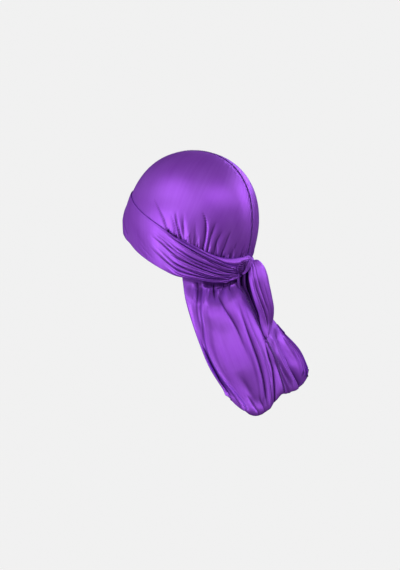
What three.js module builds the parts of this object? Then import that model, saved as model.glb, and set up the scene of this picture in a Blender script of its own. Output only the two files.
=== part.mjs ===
import * as THREE from 'three';
import { mergeVertices } from 'three/addons/utils/BufferGeometryUtils.js';

// A tied satin durag in the form that it has when worn. The wearer faces -Y, +X is the
// wearer's left and +Z is up. Levels are measured from the widest level of the head, and a
// turn is the angle round it: -90 at the forehead, 0 at the left ear, 90 at the nape.
// The finished group is shifted so that its origin is the inside top of the crown.

// Sizes in millimetres
const crownLength = 202;
const crownWidth = 154;
const crownHeight = 97.5;
const templeDepth = 150; // how far down the form would close under the forehead
const earDepth = 133; // and under the ears
const napeDepth = 125; // and under the nape
const cloth = 1.2; // wall of every sheet of satin
const fitGap = 0.8; // between two layers that lie on each other
const seamGap = 0.4; // between two edges that are sewn together
const seamWidth = 4; // overlocked welt along a centre seam
const seamHeight = 1.5;
const wrapDrop = 90.5; // lowest edge of the wraps under the widest level
const rimInset = 12; // the cap ends this far above the lower edge of the wraps
const pleatHeight = 2.2;
const pleatCount = 5;
const gatherDepth = 1.8; // creases pulled into the crown over the nape
const gatherWidth = 4;
const knotWidth = 25;
const knotHeight = 24;
const knotDepth = 12;
const tailLength = 197.5;
const tailHalfWidth = 66;
const tailSweep = 74; // how far the hem stands back from the neck
const foldHeight = 3.6;
const foldWidth = 7;
const strapStandoff = 22; // how far the larger strap end hangs behind the tail

// Shape of the head under the cloth, as shares of the crown's sizes
const crownFullness = 0.22;
const browFlatness = 0.05;
const napePinch = 0.6;

// Edges of a wrap by turn, as shares of wrapDrop
const wrapEdges = [
  { turn: -135, low: -0.287, high: -0.254 },
  { turn: -120, low: -0.274, high: 0.044 },
  { turn: -105, low: -0.266, high: 0.287 },
  { turn: -90, low: -0.265, high: 0.425 },
  { turn: -75, low: -0.27, high: 0.459 },
  { turn: -60, low: -0.287, high: 0.407 },
  { turn: -45, low: -0.383, high: 0.337 },
  { turn: -30, low: -0.534, high: 0.207 },
  { turn: -15, low: -0.66, high: 0.056 },
  { turn: 0, low: -0.778, high: -0.102 },
  { turn: 15, low: -0.878, high: -0.278 },
  { turn: 30, low: -0.944, high: -0.44 },
  { turn: 45, low: -0.987, high: -0.565 },
  { turn: 60, low: -1, high: -0.646 },
  { turn: 75, low: -0.959, high: -0.679 },
  { turn: 90, low: -0.906, high: -0.729 },
];

// Layers of cloth under a wrap by turn, and how far its pleats are drawn up
const leftWrapLayers = [
  { turn: -135, layers: 1.15, drawn: 0 },
  { turn: -60, layers: 1.15, drawn: 0 },
  { turn: -40, layers: 1.1, drawn: 0 },
  { turn: -25, layers: 0, drawn: 0 },
  { turn: -12, layers: 0, drawn: 0 },
  { turn: 5, layers: 1.05, drawn: 0.4 },
  { turn: 25, layers: 1.05, drawn: 0.8 },
  { turn: 90, layers: 1.05, drawn: 1 },
];
const rightWrapLayers = [
  { turn: -135, layers: 0, drawn: 0 },
  { turn: -25, layers: 0, drawn: 0 },
  { turn: -12, layers: 0, drawn: 0 },
  { turn: 5, layers: 1.05, drawn: 0.4 },
  { turn: 25, layers: 1.05, drawn: 0.8 },
  { turn: 90, layers: 1.05, drawn: 1 },
];

// Edges of the nape band by turn, as shares of wrapDrop, with the same on both sides
const napeEdges = [
  { turn: 8, top: -0.25, bottom: -0.36 },
  { turn: 20, top: -0.314, bottom: -0.46 },
  { turn: 30, top: -0.406, bottom: -0.56 },
  { turn: 45, top: -0.526, bottom: -0.68 },
  { turn: 60, top: -0.583, bottom: -0.75 },
  { turn: 75, top: -0.575, bottom: -0.77 },
  { turn: 90, top: -0.541, bottom: -0.77 },
];

// Turns at which the columns of a cap half reach its rim, closer where the cap is gathered
const capColumns = [
  { share: 0, turn: -90 },
  { share: 0.3, turn: 0 },
  { share: 0.9, turn: 72 },
  { share: 1, turn: 90 },
];

// Creases of the crown from the wraps upward: levels as shares of wrapDrop, depths of gatherDepth
const gathers = [
  { footTurn: 14.5, footLevel: -0.25, headTurn: -14.3, headLevel: 0.37, depth: 0.5 },
  { footTurn: 16.4, footLevel: -0.16, headTurn: 9.2, headLevel: 0.16, depth: 0.5 },
  { footTurn: 21.8, footLevel: -0.3, headTurn: 16.6, headLevel: 0.16, depth: 1 },
  { footTurn: 28, footLevel: -0.36, headTurn: 25.4, headLevel: 0.14, depth: 0.6 },
  { footTurn: 44.2, footLevel: -0.5, headTurn: 42.8, headLevel: 0.17, depth: 1.2 },
  { footTurn: 49.6, footLevel: -0.54, headTurn: 57.2, headLevel: 0.04, depth: 0.7 },
  { footTurn: 57, footLevel: -0.54, headTurn: 64, headLevel: -0.15, depth: 0.8 },
];

// Outline and hang of the tail by drop: back as shares of tailSweep, sideways of tailHalfWidth
const tailHang = [
  { drop: 0.23, midBack: 0.11, leftBack: 0.11, rightBack: 0.32,
    midSide: 0, leftSide: 0.97, rightSide: -1, round: 0.95 },
  { drop: 0.42, midBack: 0.386, leftBack: 0.27, rightBack: 0.79,
    midSide: -0.03, leftSide: 1, rightSide: -1.106, round: 0.85 },
  { drop: 0.61, midBack: 0.642, leftBack: 0.48, rightBack: 1.14,
    midSide: -0.09, leftSide: 1.03, rightSide: -1.167, round: 0.8 },
  { drop: 0.8, midBack: 0.845, leftBack: 0.7, rightBack: 1.386,
    midSide: -0.129, leftSide: 1.03, rightSide: -1.197, round: 0.75 },
  { drop: 1, midBack: 1, leftBack: 1.04, rightBack: 1.56,
    midSide: -0.159, leftSide: 1, rightSide: -1.136, round: 0.7 },
];
const tailTurn = 17; // the tail is sewn to the rim from here round to the other side
const tailWaist = 0.08; // share of the drop down to which it still lies on the neck
const tailRows = 14;

// Length of the tail by place across it, as shares of tailLength
const tailHem = [
  { across: -1, length: 0.77 },
  { across: -0.75, length: 0.8 },
  { across: -0.5, length: 0.825 },
  { across: -0.25, length: 0.851 },
  { across: 0, length: 0.866 },
  { across: 0.06, length: 0.866 },
  { across: 0.15, length: 0.906 },
  { across: 0.3, length: 0.965 },
  { across: 0.5, length: 1 },
  { across: 0.75, length: 0.962 },
  { across: 1, length: 0.896 },
];

// Folds of the tail: where each lies at its top, middle and hem, its first and last drop,
// and its height and width as shares of foldHeight and foldWidth
const tailFolds = [
  { top: 0.69, middle: 0.81, hem: 0.7, first: 0.06, last: 1.1, height: 0.8, width: 0.8 },
  { top: 0.79, middle: 0.92, hem: 0.88, first: 0.06, last: 1.1, height: -0.7, width: 0.8 },
  { top: 0.52, middle: 0.56, hem: 0.6, first: 0.04, last: 0.5, height: -0.6, width: 0.7 },
  { top: 0.42, middle: 0.355, hem: 0.38, first: 0.04, last: 0.8, height: -0.6, width: 0.8 },
  { top: 0.3, middle: 0.29, hem: 0.34, first: 0.04, last: 1, height: 0.6, width: 1 },
  { top: 0.05, middle: 0.23, hem: 0.28, first: 0.15, last: 1.1, height: -0.7, width: 0.7 },
  { top: 0.05, middle: 0.14, hem: 0.18, first: 0.3, last: 1.1, height: 0.7, width: 0.7 },
  { top: -0.1, middle: -0.06, hem: -0.14, first: 0.3, last: 1, height: 0.6, width: 0.7 },
  { top: -0.3, middle: -0.29, hem: -0.42, first: 0.2, last: 1.2, height: -0.9, width: 1.2 },
  { top: -0.55, middle: -0.62, hem: -0.75, first: 0.1, last: 1.2, height: 1, width: 1.4 },
  { top: -0.8, middle: -0.9, hem: -0.95, first: 0.1, last: 1, height: -0.6, width: 1 },
];

// Strap ends by drop: their edges across the tail, how far each stands behind the tail as a
// share of strapStandoff, and how far the middle bows out beyond the edges
const rightStrap = [
  { drop: -0.11, left: -0.06, right: -0.24, leftOff: 0.44, rightOff: 0.46, bow: 0.06 },
  { drop: -0.05, left: -0.03, right: -0.42, leftOff: 0.72, rightOff: 1.12, bow: 0.1 },
  { drop: 0.01, left: -0.03, right: -0.5, leftOff: 0.92, rightOff: 1.74, bow: 0.12 },
  { drop: 0.08, left: -0.03, right: -0.55, leftOff: 1.12, rightOff: 2.15, bow: 0.12 },
  { drop: 0.18, left: -0.03, right: -0.54, leftOff: 1, rightOff: 2, bow: 0.14 },
  { drop: 0.28, left: -0.03, right: -0.43, leftOff: 0.74, rightOff: 1.2, bow: 0.16 },
  { drop: 0.38, left: -0.01, right: -0.36, leftOff: 0.45, rightOff: 0.66, bow: 0.16 },
  { drop: 0.47, left: 0.01, right: -0.22, leftOff: 0.28, rightOff: 0.34, bow: 0.1 },
  { drop: 0.54, left: 0.01, right: -0.06, leftOff: 0.22, rightOff: 0.22, bow: 0.03 },
];
const leftStrap = [
  { drop: 0.05, left: 0.2, right: 0.03, leftOff: 0.52, rightOff: 0.54, bow: 0.08 },
  { drop: 0.14, left: 0.16, right: -0.02, leftOff: 0.38, rightOff: 0.4, bow: 0.1 },
  { drop: 0.26, left: 0.12, right: -0.03, leftOff: 0.26, rightOff: 0.28, bow: 0.08 },
  { drop: 0.36, left: 0.09, right: -0.01, leftOff: 0.22, rightOff: 0.22, bow: 0.06 },
  { drop: 0.43, left: 0.06, right: 0.015, leftOff: 0.22, rightOff: 0.2, bow: 0.02 },
];

const satin = { color: 0x8f48c8, roughness: 0.35, metalness: 0 };
const thread = { color: 0x551f7a, roughness: 0.6, metalness: 0 };

const { degToRad, radToDeg, clamp, lerp, smoothstep } = THREE.MathUtils;

// Smooth value of one column of a table where its key column reads `at`
function read(table, key, column, at) {
  const last = table.length - 1;
  const span = (i) => table[i + 1][key] - table[i][key];
  const slope = (i) => (table[i + 1][column] - table[i][column]) / span(i);
  const tangent = (i) => {
    if (i === 0) return slope(0);
    if (i === last) return slope(last - 1);
    return (slope(i - 1) * span(i) + slope(i) * span(i - 1)) / (span(i - 1) + span(i));
  };
  const x = clamp(at, table[0][key], table[last][key]);
  let i = 0;
  while (i < last - 1 && x > table[i + 1][key]) i += 1;
  const s = (x - table[i][key]) / span(i);
  const rest = 1 - s;
  return (1 + 2 * s) * rest ** 2 * table[i][column] + s ** 2 * (3 - 2 * s) * table[i + 1][column]
    + s * rest * span(i) * (rest * tangent(i) - s * tangent(i + 1));
}

// Head form

function closingDepth(turn) {
  const side = Math.sin(turn);
  return earDepth + ((side < 0 ? templeDepth : napeDepth) - earDepth) * side ** 2;
}

function formPower(turn, above) {
  return above ? 2 + crownFullness * (0.5 + 0.5 * Math.sin(turn)) ** 2 : 2;
}

function directionAt(turn, level) {
  const above = level >= 0;
  const share = Math.min(1, Math.abs(level) / (above ? crownHeight : closingDepth(turn)));
  const rise = Math.sign(level) * Math.asin(share ** (formPower(turn, above) / 2));
  return new THREE.Vector3().setFromSphericalCoords(1, Math.PI / 2 - rise, turn + Math.PI / 2)
    .applyMatrix4(upright);
}

// Turns three.js spherical coordinates, whose pole is +Y, so that the pole is +Z
const upright = new THREE.Matrix4().makeBasis(
  new THREE.Vector3(1, 0, 0), new THREE.Vector3(0, 0, 1), new THREE.Vector3(0, -1, 0));

function headPoint(direction) {
  const turn = Math.atan2(direction.y, direction.x);
  const above = direction.z >= 0;
  const power = formPower(turn, above);
  const side = Math.sin(turn);
  const share = Math.abs(direction.z) ** (2 / power);
  const reach = Math.hypot(direction.x, direction.y) ** (2 / power);
  const brow = above && side < 0 ? browFlatness * side ** 2 * 4 * share * (1 - share) : 0;
  const pinch = above ? 0 : napePinch * Math.max(0, side) ** 4 * share ** 2 / (share + 0.15);
  return new THREE.Vector3(
    crownWidth / 2 * reach * Math.cos(turn) * (1 - brow) * (1 - pinch),
    crownLength / 2 * reach * side * (1 - brow),
    above ? crownHeight * share : -closingDepth(turn) * share,
  );
}

// Point at a height over the head form, square to it
function overHead(direction, height) {
  const step = 1e-3;
  const helper = Math.abs(direction.y) < 0.9 ? new THREE.Vector3(0, 1, 0) : new THREE.Vector3(0, 0, 1);
  const along = new THREE.Vector3().crossVectors(direction, helper).normalize();
  const across = new THREE.Vector3().crossVectors(direction, along);
  const tilt = (axis, amount) => headPoint(direction.clone().addScaledVector(axis, amount).normalize());
  const normal = new THREE.Vector3().crossVectors(
    tilt(along, step).sub(tilt(along, -step)), tilt(across, step).sub(tilt(across, -step)));
  const point = headPoint(direction);
  normal.normalize().multiplyScalar(Math.sign(normal.dot(point)));
  return point.addScaledVector(normal, height);
}

// Level of the cap's rim, which follows the lower edge of the wraps
function rimLevel(turn) {
  const degrees = radToDeg(turn);
  const near = degrees > 90 ? 180 - degrees : degrees;
  return wrapDrop * read(wrapEdges, 'turn', 'low', near) + rimInset;
}

// Tail form

function tailPoint(across, drop) {
  const edgeTurn = degToRad(tailTurn);
  const turn = lerp(Math.PI / 2, edgeTurn, across);
  const length = tailLength * read(tailHem, 'across', 'length', across);
  const onNeck = (share, around) => {
    const level = rimLevel(around) - seamGap - share * length;
    return { drop: share, ...headPoint(directionAt(around, level)) };
  };
  const middle = onNeck(tailWaist, Math.PI / 2);
  const edge = onNeck(tailWaist, edgeTurn);
  const arc = Math.abs(across) * Math.PI / 2;
  const free = tailHang.map((row) => {
    const side = across < 0 ? 'right' : 'left';
    const sideways = lerp(Math.abs(across), Math.sin(arc), row.round);
    const forward = lerp(Math.abs(across), 1 - Math.cos(arc), row.round);
    return {
      drop: row.drop,
      x: tailHalfWidth * lerp(row.midSide, row[`${side}Side`], sideways),
      y: lerp(middle.y + tailSweep * row.midBack, edge.y + tailSweep * row[`${side}Back`], forward),
    };
  });
  const neck = [-0.16, -0.08, 0, tailWaist].map((share) => onNeck(share, turn));
  const rows = [...neck, ...free];
  return new THREE.Vector3(read(rows, 'drop', 'x', drop), read(rows, 'drop', 'y', drop),
    rimLevel(turn) - seamGap - drop * length);
}

// Height of the tail's folds over its plain hang
function tailFold(across, drop) {
  const start = smoothstep(drop, tailWaist, tailWaist + 0.08);
  let height = 0;
  for (const fold of tailFolds) {
    const place = drop < 0.5
      ? lerp(fold.top, fold.middle, drop * 2) : lerp(fold.middle, fold.hem, drop * 2 - 1);
    const distance = (across - place) * tailHalfWidth * Math.PI / 2;
    const fade = smoothstep(drop, fold.first, fold.first + 0.1)
      * (1 - smoothstep(drop, fold.last - 0.2, fold.last));
    height += fold.height * foldHeight * fade * Math.exp(-((distance / (fold.width * foldWidth)) ** 2));
  }
  return height * start;
}

// Solids

// Closed solid between two surfaces that share a grid of columns by rows
function gridSolid(columns, rows, over, under) {
  const positions = [];
  for (const surface of [over, under]) {
    for (let i = 0; i <= columns; i += 1) {
      for (let j = 0; j <= rows; j += 1) positions.push(...surface(i / columns, j / rows).toArray());
    }
  }
  const half = (columns + 1) * (rows + 1);
  const at = (i, j, side) => side * half + i * (rows + 1) + j;
  const faces = [];
  const quad = (a, b, c, d) => faces.push(a, b, c, a, c, d);
  for (let i = 0; i < columns; i += 1) {
    for (let j = 0; j < rows; j += 1) {
      quad(at(i, j, 0), at(i + 1, j, 0), at(i + 1, j + 1, 0), at(i, j + 1, 0));
      quad(at(i, j, 1), at(i, j + 1, 1), at(i + 1, j + 1, 1), at(i + 1, j, 1));
    }
    quad(at(i, 0, 1), at(i + 1, 0, 1), at(i + 1, 0, 0), at(i, 0, 0));
    quad(at(i, rows, 0), at(i + 1, rows, 0), at(i + 1, rows, 1), at(i, rows, 1));
  }
  for (let j = 0; j < rows; j += 1) {
    quad(at(0, j, 0), at(0, j + 1, 0), at(0, j + 1, 1), at(0, j, 1));
    quad(at(columns, j, 1), at(columns, j + 1, 1), at(columns, j + 1, 0), at(columns, j, 0));
  }
  const geometry = new THREE.BufferGeometry();
  geometry.setAttribute('position', new THREE.Float32BufferAttribute(positions, 3));
  geometry.setIndex(volumeOf(positions, faces) < 0 ? faces.reverse() : faces);
  const solid = mergeVertices(geometry, 1e-4);
  solid.computeVertexNormals();
  return solid;
}

function volumeOf(positions, faces) {
  const corner = (k) => new THREE.Vector3().fromArray(positions, faces[k] * 3);
  let volume = 0;
  for (let k = 0; k < faces.length; k += 3) {
    volume += corner(k).dot(corner(k + 1).cross(corner(k + 2))) / 6;
  }
  return volume;
}

// Sheet of cloth whose outer face is the surface, with its wall on the wearer's side
function clothSheet(columns, rows, surface) {
  const step = 1e-3;
  const normalAt = (u, v) => new THREE.Vector3().crossVectors(
    surface(Math.min(1, u + step), v).sub(surface(Math.max(0, u - step), v)),
    surface(u, Math.min(1, v + step)).sub(surface(u, Math.max(0, v - step))),
  ).normalize();
  const middle = surface(0.5, 0.5);
  const outward = Math.sign(normalAt(0.5, 0.5).dot(new THREE.Vector3(middle.x, middle.y, 0)));
  const under = (u, v) => surface(u, v).addScaledVector(normalAt(u, v), -cloth * outward);
  return gridSolid(columns, rows, surface, under);
}

// Cap

function between(from, to, share) {
  const angle = from.angleTo(to);
  return from.clone().multiplyScalar(Math.sin((1 - share) * angle) / Math.sin(angle))
    .addScaledVector(to, Math.sin(share * angle) / Math.sin(angle));
}

// Direction of a place along the centre seam, 0 over the forehead and 1 over the nape
function seamDirection(share) {
  const corner = 8;
  const front = directionAt(-Math.PI / 2, rimLevel(-Math.PI / 2) + corner);
  const back = directionAt(Math.PI / 2, rimLevel(Math.PI / 2) + corner);
  const angle = lerp(Math.asin(front.z), Math.PI - Math.asin(back.z), share);
  return new THREE.Vector3(0, -Math.cos(angle), Math.sin(angle));
}

function gatherAt(point) {
  const turn = radToDeg(Math.atan2(point.y, point.x));
  const level = point.z / wrapDrop;
  let depth = 0;
  for (const crease of gathers) {
    const share = (level - crease.footLevel) / (crease.headLevel - crease.footLevel);
    const middle = lerp(crease.footTurn, crease.headTurn, share);
    const distance = degToRad(turn - middle) * Math.hypot(point.x, point.y);
    const fade = smoothstep(share, -0.5, -0.1) * (1 - smoothstep(share, 0.4, 1));
    depth += crease.depth * gatherDepth * fade * Math.exp(-((distance / gatherWidth) ** 2));
  }
  return depth;
}

function capHalf(side) {
  const surface = (wall) => (u, v) => {
    const turn = degToRad(read(capColumns, 'share', 'turn', u));
    const seam = seamDirection(turn / Math.PI + 0.5);
    const direction = between(seam, directionAt(turn, rimLevel(turn)), v);
    const point = overHead(direction, -gatherAt(headPoint(direction)) - wall);
    point.x = side * (point.x + seamGap / 2);
    return point;
  };
  return gridSolid(38, 10, surface(0), surface(cloth));
}

// Half-round welt over a seam, from its route of points and its sideways reach
function welt(columns, over) {
  const rows = 4;
  const low = (u, v) => over(u, (v - 0.5) * seamWidth, fitGap);
  const high = (u, v) => {
    const round = Math.sqrt(1 - (0.96 * (2 * v - 1)) ** 2);
    return over(u, (v - 0.5) * seamWidth, fitGap + seamHeight * round);
  };
  return gridSolid(columns, rows, high, low);
}

function crownSeam() {
  const highest = (table, turn, column) => wrapDrop * read(table, 'turn', column, turn);
  const front = Math.asin(directionAt(-Math.PI / 2, highest(wrapEdges, -90, 'high') + 3 * fitGap).z);
  const back = Math.asin(directionAt(Math.PI / 2, highest(napeEdges, 90, 'top') + 3 * fitGap).z);
  return welt(28, (u, sideways, height) => {
    const angle = lerp(front, Math.PI - back, u);
    const direction = new THREE.Vector3(sideways / (crownWidth / 2), -Math.cos(angle), Math.sin(angle));
    return overHead(direction.normalize(), height);
  });
}

// Wraps, nape band and knot

const layer = cloth + fitGap;

function wrap(side, layering) {
  const lastTurn = 84;
  return clothSheet(28, 12, (u, v) => {
    const turn = lerp(wrapEdges[0].turn, lastTurn, u);
    const level = wrapDrop * lerp(
      read(wrapEdges, 'turn', 'low', turn), read(wrapEdges, 'turn', 'high', turn), v);
    const ripple = 0.5 - 0.5 * Math.cos(2 * Math.PI * pleatCount * v);
    const height = layer * (1 + Math.max(0, read(layering, 'turn', 'layers', turn)))
      + pleatHeight * ripple * Math.max(0, read(layering, 'turn', 'drawn', turn));
    const point = overHead(directionAt(degToRad(turn), level), height);
    point.x *= side;
    return point;
  });
}

function napeBand() {
  const firstTurn = napeEdges[0].turn;
  const folds = 2;
  return clothSheet(24, 4, (u, v) => {
    const turn = lerp(firstTurn, 180 - firstTurn, u);
    const near = Math.min(turn, 180 - turn);
    const level = wrapDrop * lerp(
      read(napeEdges, 'turn', 'bottom', near), read(napeEdges, 'turn', 'top', near), v);
    const ripple = 0.3 * (0.5 - 0.5 * Math.cos(2 * Math.PI * folds * v));
    return overHead(directionAt(degToRad(turn), level), layer + ripple);
  });
}

// Height of the knot's outer face over the head form at a turn and level
const knotSeat = 2 * layer + pleatHeight + fitGap;
const knotTurn = degToRad(81);
const knotLevel = -0.7 * wrapDrop;

function knotHeightAt(across, upward) {
  const reach = Math.hypot(across, upward);
  const dome = Math.sqrt(Math.max(0, 1 - reach ** 2));
  const lobes = 0.09 * Math.cos(3 * Math.PI * (upward + 0.35 * across)) * dome;
  return knotSeat + cloth + knotDepth * (dome + lobes);
}

function knot() {
  const place = (u, v, heightAt) => {
    const [x, y] = [2 * u - 1, 2 * v - 1];
    const across = x * Math.sqrt(1 - y ** 2 / 2);
    const upward = y * Math.sqrt(1 - x ** 2 / 2);
    const girth = headPoint(directionAt(knotTurn - 0.1, knotLevel))
      .distanceTo(headPoint(directionAt(knotTurn, knotLevel))) / 0.1;
    const turn = knotTurn - across * knotWidth / 2 / girth;
    const direction = directionAt(turn, knotLevel + upward * knotHeight / 2);
    return overHead(direction, heightAt(across, upward));
  };
  return gridSolid(12, 12,
    (u, v) => place(u, v, knotHeightAt), (u, v) => place(u, v, () => knotSeat));
}

// Strap ends and tail

function strapEnd(rows) {
  const first = rows[0].drop;
  const last = rows[rows.length - 1].drop;
  return clothSheet(6, 16, (u, v) => {
    const drop = lerp(first, last, v);
    const across = lerp(read(rows, 'drop', 'left', drop), read(rows, 'drop', 'right', drop), u);
    const edge = lerp(read(rows, 'drop', 'leftOff', drop), read(rows, 'drop', 'rightOff', drop), u);
    const bow = read(rows, 'drop', 'bow', drop) * 4 * u * (1 - u);
    const point = tailPoint(across, drop);
    point.y += strapStandoff * (edge + bow);
    return point;
  });
}

function overTail(across, drop, height) {
  const step = 1e-3;
  const normal = new THREE.Vector3().crossVectors(
    tailPoint(across + step, drop).sub(tailPoint(across - step, drop)),
    tailPoint(across, drop + step).sub(tailPoint(across, drop - step)));
  const point = tailPoint(across, drop);
  normal.normalize().multiplyScalar(Math.sign(normal.dot(new THREE.Vector3(point.x, point.y, 0))));
  return point.addScaledVector(normal, height);
}

function tailHalf(side) {
  const surface = (wall) => (u, v) => {
    const across = side * u;
    const point = overTail(across, v, tailFold(across, v) - wall);
    point.x += side * seamGap / 2;
    return point;
  };
  return gridSolid(20, tailRows, surface(0), surface(cloth));
}

// The welt has its columns where the tail has its rows, and starts under the strap ends
function tailSeam() {
  const hidden = 2;
  return welt(tailRows - hidden, (u, sideways, height) => {
    const drop = lerp(hidden / tailRows, 1, u);
    const across = sideways / (tailHalfWidth * Math.PI / 2);
    return overTail(across, drop, tailFold(across, drop) + height);
  });
}

const durag = new THREE.Group();
const worn = new THREE.Group();
worn.position.z = cloth - crownHeight;
durag.add(worn);

function addPiece(name, geometry, finish) {
  const mesh = new THREE.Mesh(geometry, new THREE.MeshStandardMaterial(finish));
  mesh.name = name;
  worn.add(mesh);
}

addPiece('cap_left', capHalf(1), satin);
addPiece('cap_right', capHalf(-1), satin);
addPiece('crown_seam', crownSeam(), thread);
addPiece('wrap_left', wrap(1, leftWrapLayers), satin);
addPiece('wrap_right', wrap(-1, rightWrapLayers), satin);
addPiece('nape_band', napeBand(), satin);
addPiece('knot', knot(), satin);
addPiece('strap_end_left', strapEnd(leftStrap), satin);
addPiece('strap_end_right', strapEnd(rightStrap), satin);
addPiece('tail_left', tailHalf(1), satin);
addPiece('tail_right', tailHalf(-1), satin);
addPiece('tail_seam', tailSeam(), thread);

export default durag;
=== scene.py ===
import math

import bpy
import numpy as np
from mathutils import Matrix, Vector


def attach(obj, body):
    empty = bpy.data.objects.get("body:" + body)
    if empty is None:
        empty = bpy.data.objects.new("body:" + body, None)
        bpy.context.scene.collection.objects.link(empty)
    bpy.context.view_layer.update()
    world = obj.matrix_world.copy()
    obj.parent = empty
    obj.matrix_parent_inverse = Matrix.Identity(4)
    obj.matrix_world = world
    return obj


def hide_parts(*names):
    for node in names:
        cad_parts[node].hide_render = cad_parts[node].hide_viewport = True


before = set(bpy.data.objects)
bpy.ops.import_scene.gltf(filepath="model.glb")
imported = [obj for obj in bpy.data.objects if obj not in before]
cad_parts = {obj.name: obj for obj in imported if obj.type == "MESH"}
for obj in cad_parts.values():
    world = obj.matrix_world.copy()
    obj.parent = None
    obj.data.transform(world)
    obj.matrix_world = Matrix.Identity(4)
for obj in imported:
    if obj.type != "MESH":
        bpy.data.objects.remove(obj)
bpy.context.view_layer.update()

# A tied satin durag in the form that it has when worn. The wearer faces -Y, +X is the wearer's
# left and +Z is up. Shapes are worked out in millimetres with levels measured from the widest
# level of the crown, and a turn is the angle round it: -90 at the forehead, 0 at the left ear,
# 90 at the nape. They are moved to the part's own origin and to metres as each mesh is made.

# Sizes of the solids in millimetres
CROWN_LENGTH = 202
CROWN_WIDTH = 154
CROWN_HEIGHT = 97.5
TEMPLE_DEPTH = 150
EAR_DEPTH = 133
NAPE_DEPTH = 125
SOLID_CLOTH = 1.2
SEAM_GAP = 0.4
WRAP_DROP = 90.5
RIM_INSET = 12
KNOT_WIDTH = 25
KNOT_HEIGHT = 24
KNOT_DEPTH = 12
KNOT_SEAT = 7.0
KNOT_TURN = math.radians(81)
KNOT_LEVEL = -0.7 * WRAP_DROP
TAIL_LENGTH = 197.5
TAIL_HALF_WIDTH = 66
TAIL_SWEEP = 74
CROWN_FULLNESS = 0.22
BROW_FLATNESS = 0.05
NAPE_PINCH = 0.6
TAIL_TURN = math.radians(17)
TAIL_WAIST = 0.08

# Cloth as it is drawn: its wall, and the space between two layers
SATIN = 0.9
BETWEEN = 0.7

# Millimetres along the cloth for one degree of turn, and for half the tail's width
CAP_TURN_MM = 1.45
WRAP_TURN_MM = 1.52
NAPE_TURN_MM = 1.4
ACROSS_MM = TAIL_HALF_WIDTH * math.pi / 2

# Columns and rows of each sheet's mesh
CAP_GRID = (280, 96)
WRAP_GRID = (310, 92)
NAPE_GRID = (300, 40)
TAIL_GRID = (140, 200)
BUNDLE_GRID = (84, 84)
KNOT_TURN_GRID = (44, 96)
LEFT_STRAP_GRID = (76, 130)
RIGHT_STRAP_GRID = (72, 160)

# Edges of a wrap: turn, low edge, high edge, as shares of WRAP_DROP
WRAP_EDGES = [
    (-135, -0.287, -0.254), (-120, -0.255, 0.044), (-105, -0.228, 0.287), (-90, -0.215, 0.425),
    (-75, -0.205, 0.459), (-60, -0.212, 0.407), (-45, -0.32, 0.337), (-30, -0.495, 0.207),
    (-15, -0.648, 0.056), (0, -0.778, -0.102), (15, -0.878, -0.278), (30, -0.944, -0.44),
    (45, -0.987, -0.565), (60, -1, -0.66), (75, -0.959, -0.7), (90, -0.906, -0.735)]

# Nape band: turn, top, bottom, as shares of WRAP_DROP
NAPE_EDGES = [
    (8, -0.25, -0.36), (20, -0.314, -0.46), (30, -0.406, -0.56), (45, -0.526, -0.68),
    (60, -0.583, -0.75), (75, -0.575, -0.77), (90, -0.541, -0.77)]

# Cap columns: share of the columns, turn at which they reach the rim
CAP_COLUMNS = [(0, -90), (0.14, -40), (0.5, 20), (0.9, 76), (1, 90)]

# Hang of the tail: drop, middle back, left back, right back, middle side, left side,
# right side, roundness
TAIL_HANG = [
    (0.23, 0.11, 0.11, 0.32, 0, 0.97, -1, 0.95),
    (0.42, 0.386, 0.27, 0.7, -0.03, 1, -1.106, 0.85),
    (0.61, 0.642, 0.48, 1.04, -0.09, 1.03, -1.167, 0.8),
    (0.8, 0.845, 0.7, 1.42, -0.129, 1.03, -1.197, 0.75),
    (1, 1, 1.04, 1.67, -0.159, 1, -1.136, 0.7)]

# Hem of the tail: across, length as a share of TAIL_LENGTH
TAIL_HEM = [
    (-1, 0.71), (-0.9, 0.742), (-0.75, 0.765), (-0.5, 0.788), (-0.25, 0.822), (0, 0.862),
    (0.06, 0.862), (0.15, 0.889), (0.3, 0.94), (0.5, 0.968), (0.75, 0.93), (1, 0.868)]

# Strap ends: place down each, left edge x, y and z, right edge x, y and z, and bow of the
# middle, in mm
RIGHT_STRAP = [
    (0, -3, 92, -56, -15, 92.5, -56, 1), (0.07, 1.5, 95, -60, -25, 95.5, -58, 3.5),
    (0.16, 4.5, 98.4, -70, -31, 100, -64.5, 6), (0.27, 7.6, 101.6, -82, -34.5, 103.6, -75, 7),
    (0.4, 6.5, 104.6, -97, -35, 107.2, -90, 7), (0.54, 3.5, 109, -114, -37, 110, -107, 6.5),
    (0.68, -1, 112.5, -131, -38.5, 112.5, -124, 6), (0.82, -1, 117, -147, -37, 112, -142, 4.5),
    (0.93, -1, 122, -158, -23, 118.5, -156, 2), (1, -2, 124.5, -163.5, -6, 124, -164, 0.3)]
LEFT_STRAP = [
    (0, 14, 88, -64, -13, 96.5, -60, 1), (0.1, 12.5, 84.6, -73, -19, 95, -70, 2),
    (0.25, 8.5, 82.2, -90, -22, 93, -88, 2), (0.45, 3, 88, -110, -22.5, 96.5, -108, 2),
    (0.65, 0.8, 98.8, -131, -17, 106, -129, 2), (0.85, -1.6, 111.8, -153, -11, 114.5, -152, 1),
    (1, -1.5, 122, -170, -3.5, 123, -169, 0.2)]

# Creases. Each is a height in mm, below zero for a valley, a width in mm, how far it leans (its
# slope is steeper on the left of its path as the number nears 1, and on the right as it nears
# -1), the shares of its path over which it fades in at the start and out at the end, and its
# path.

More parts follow.
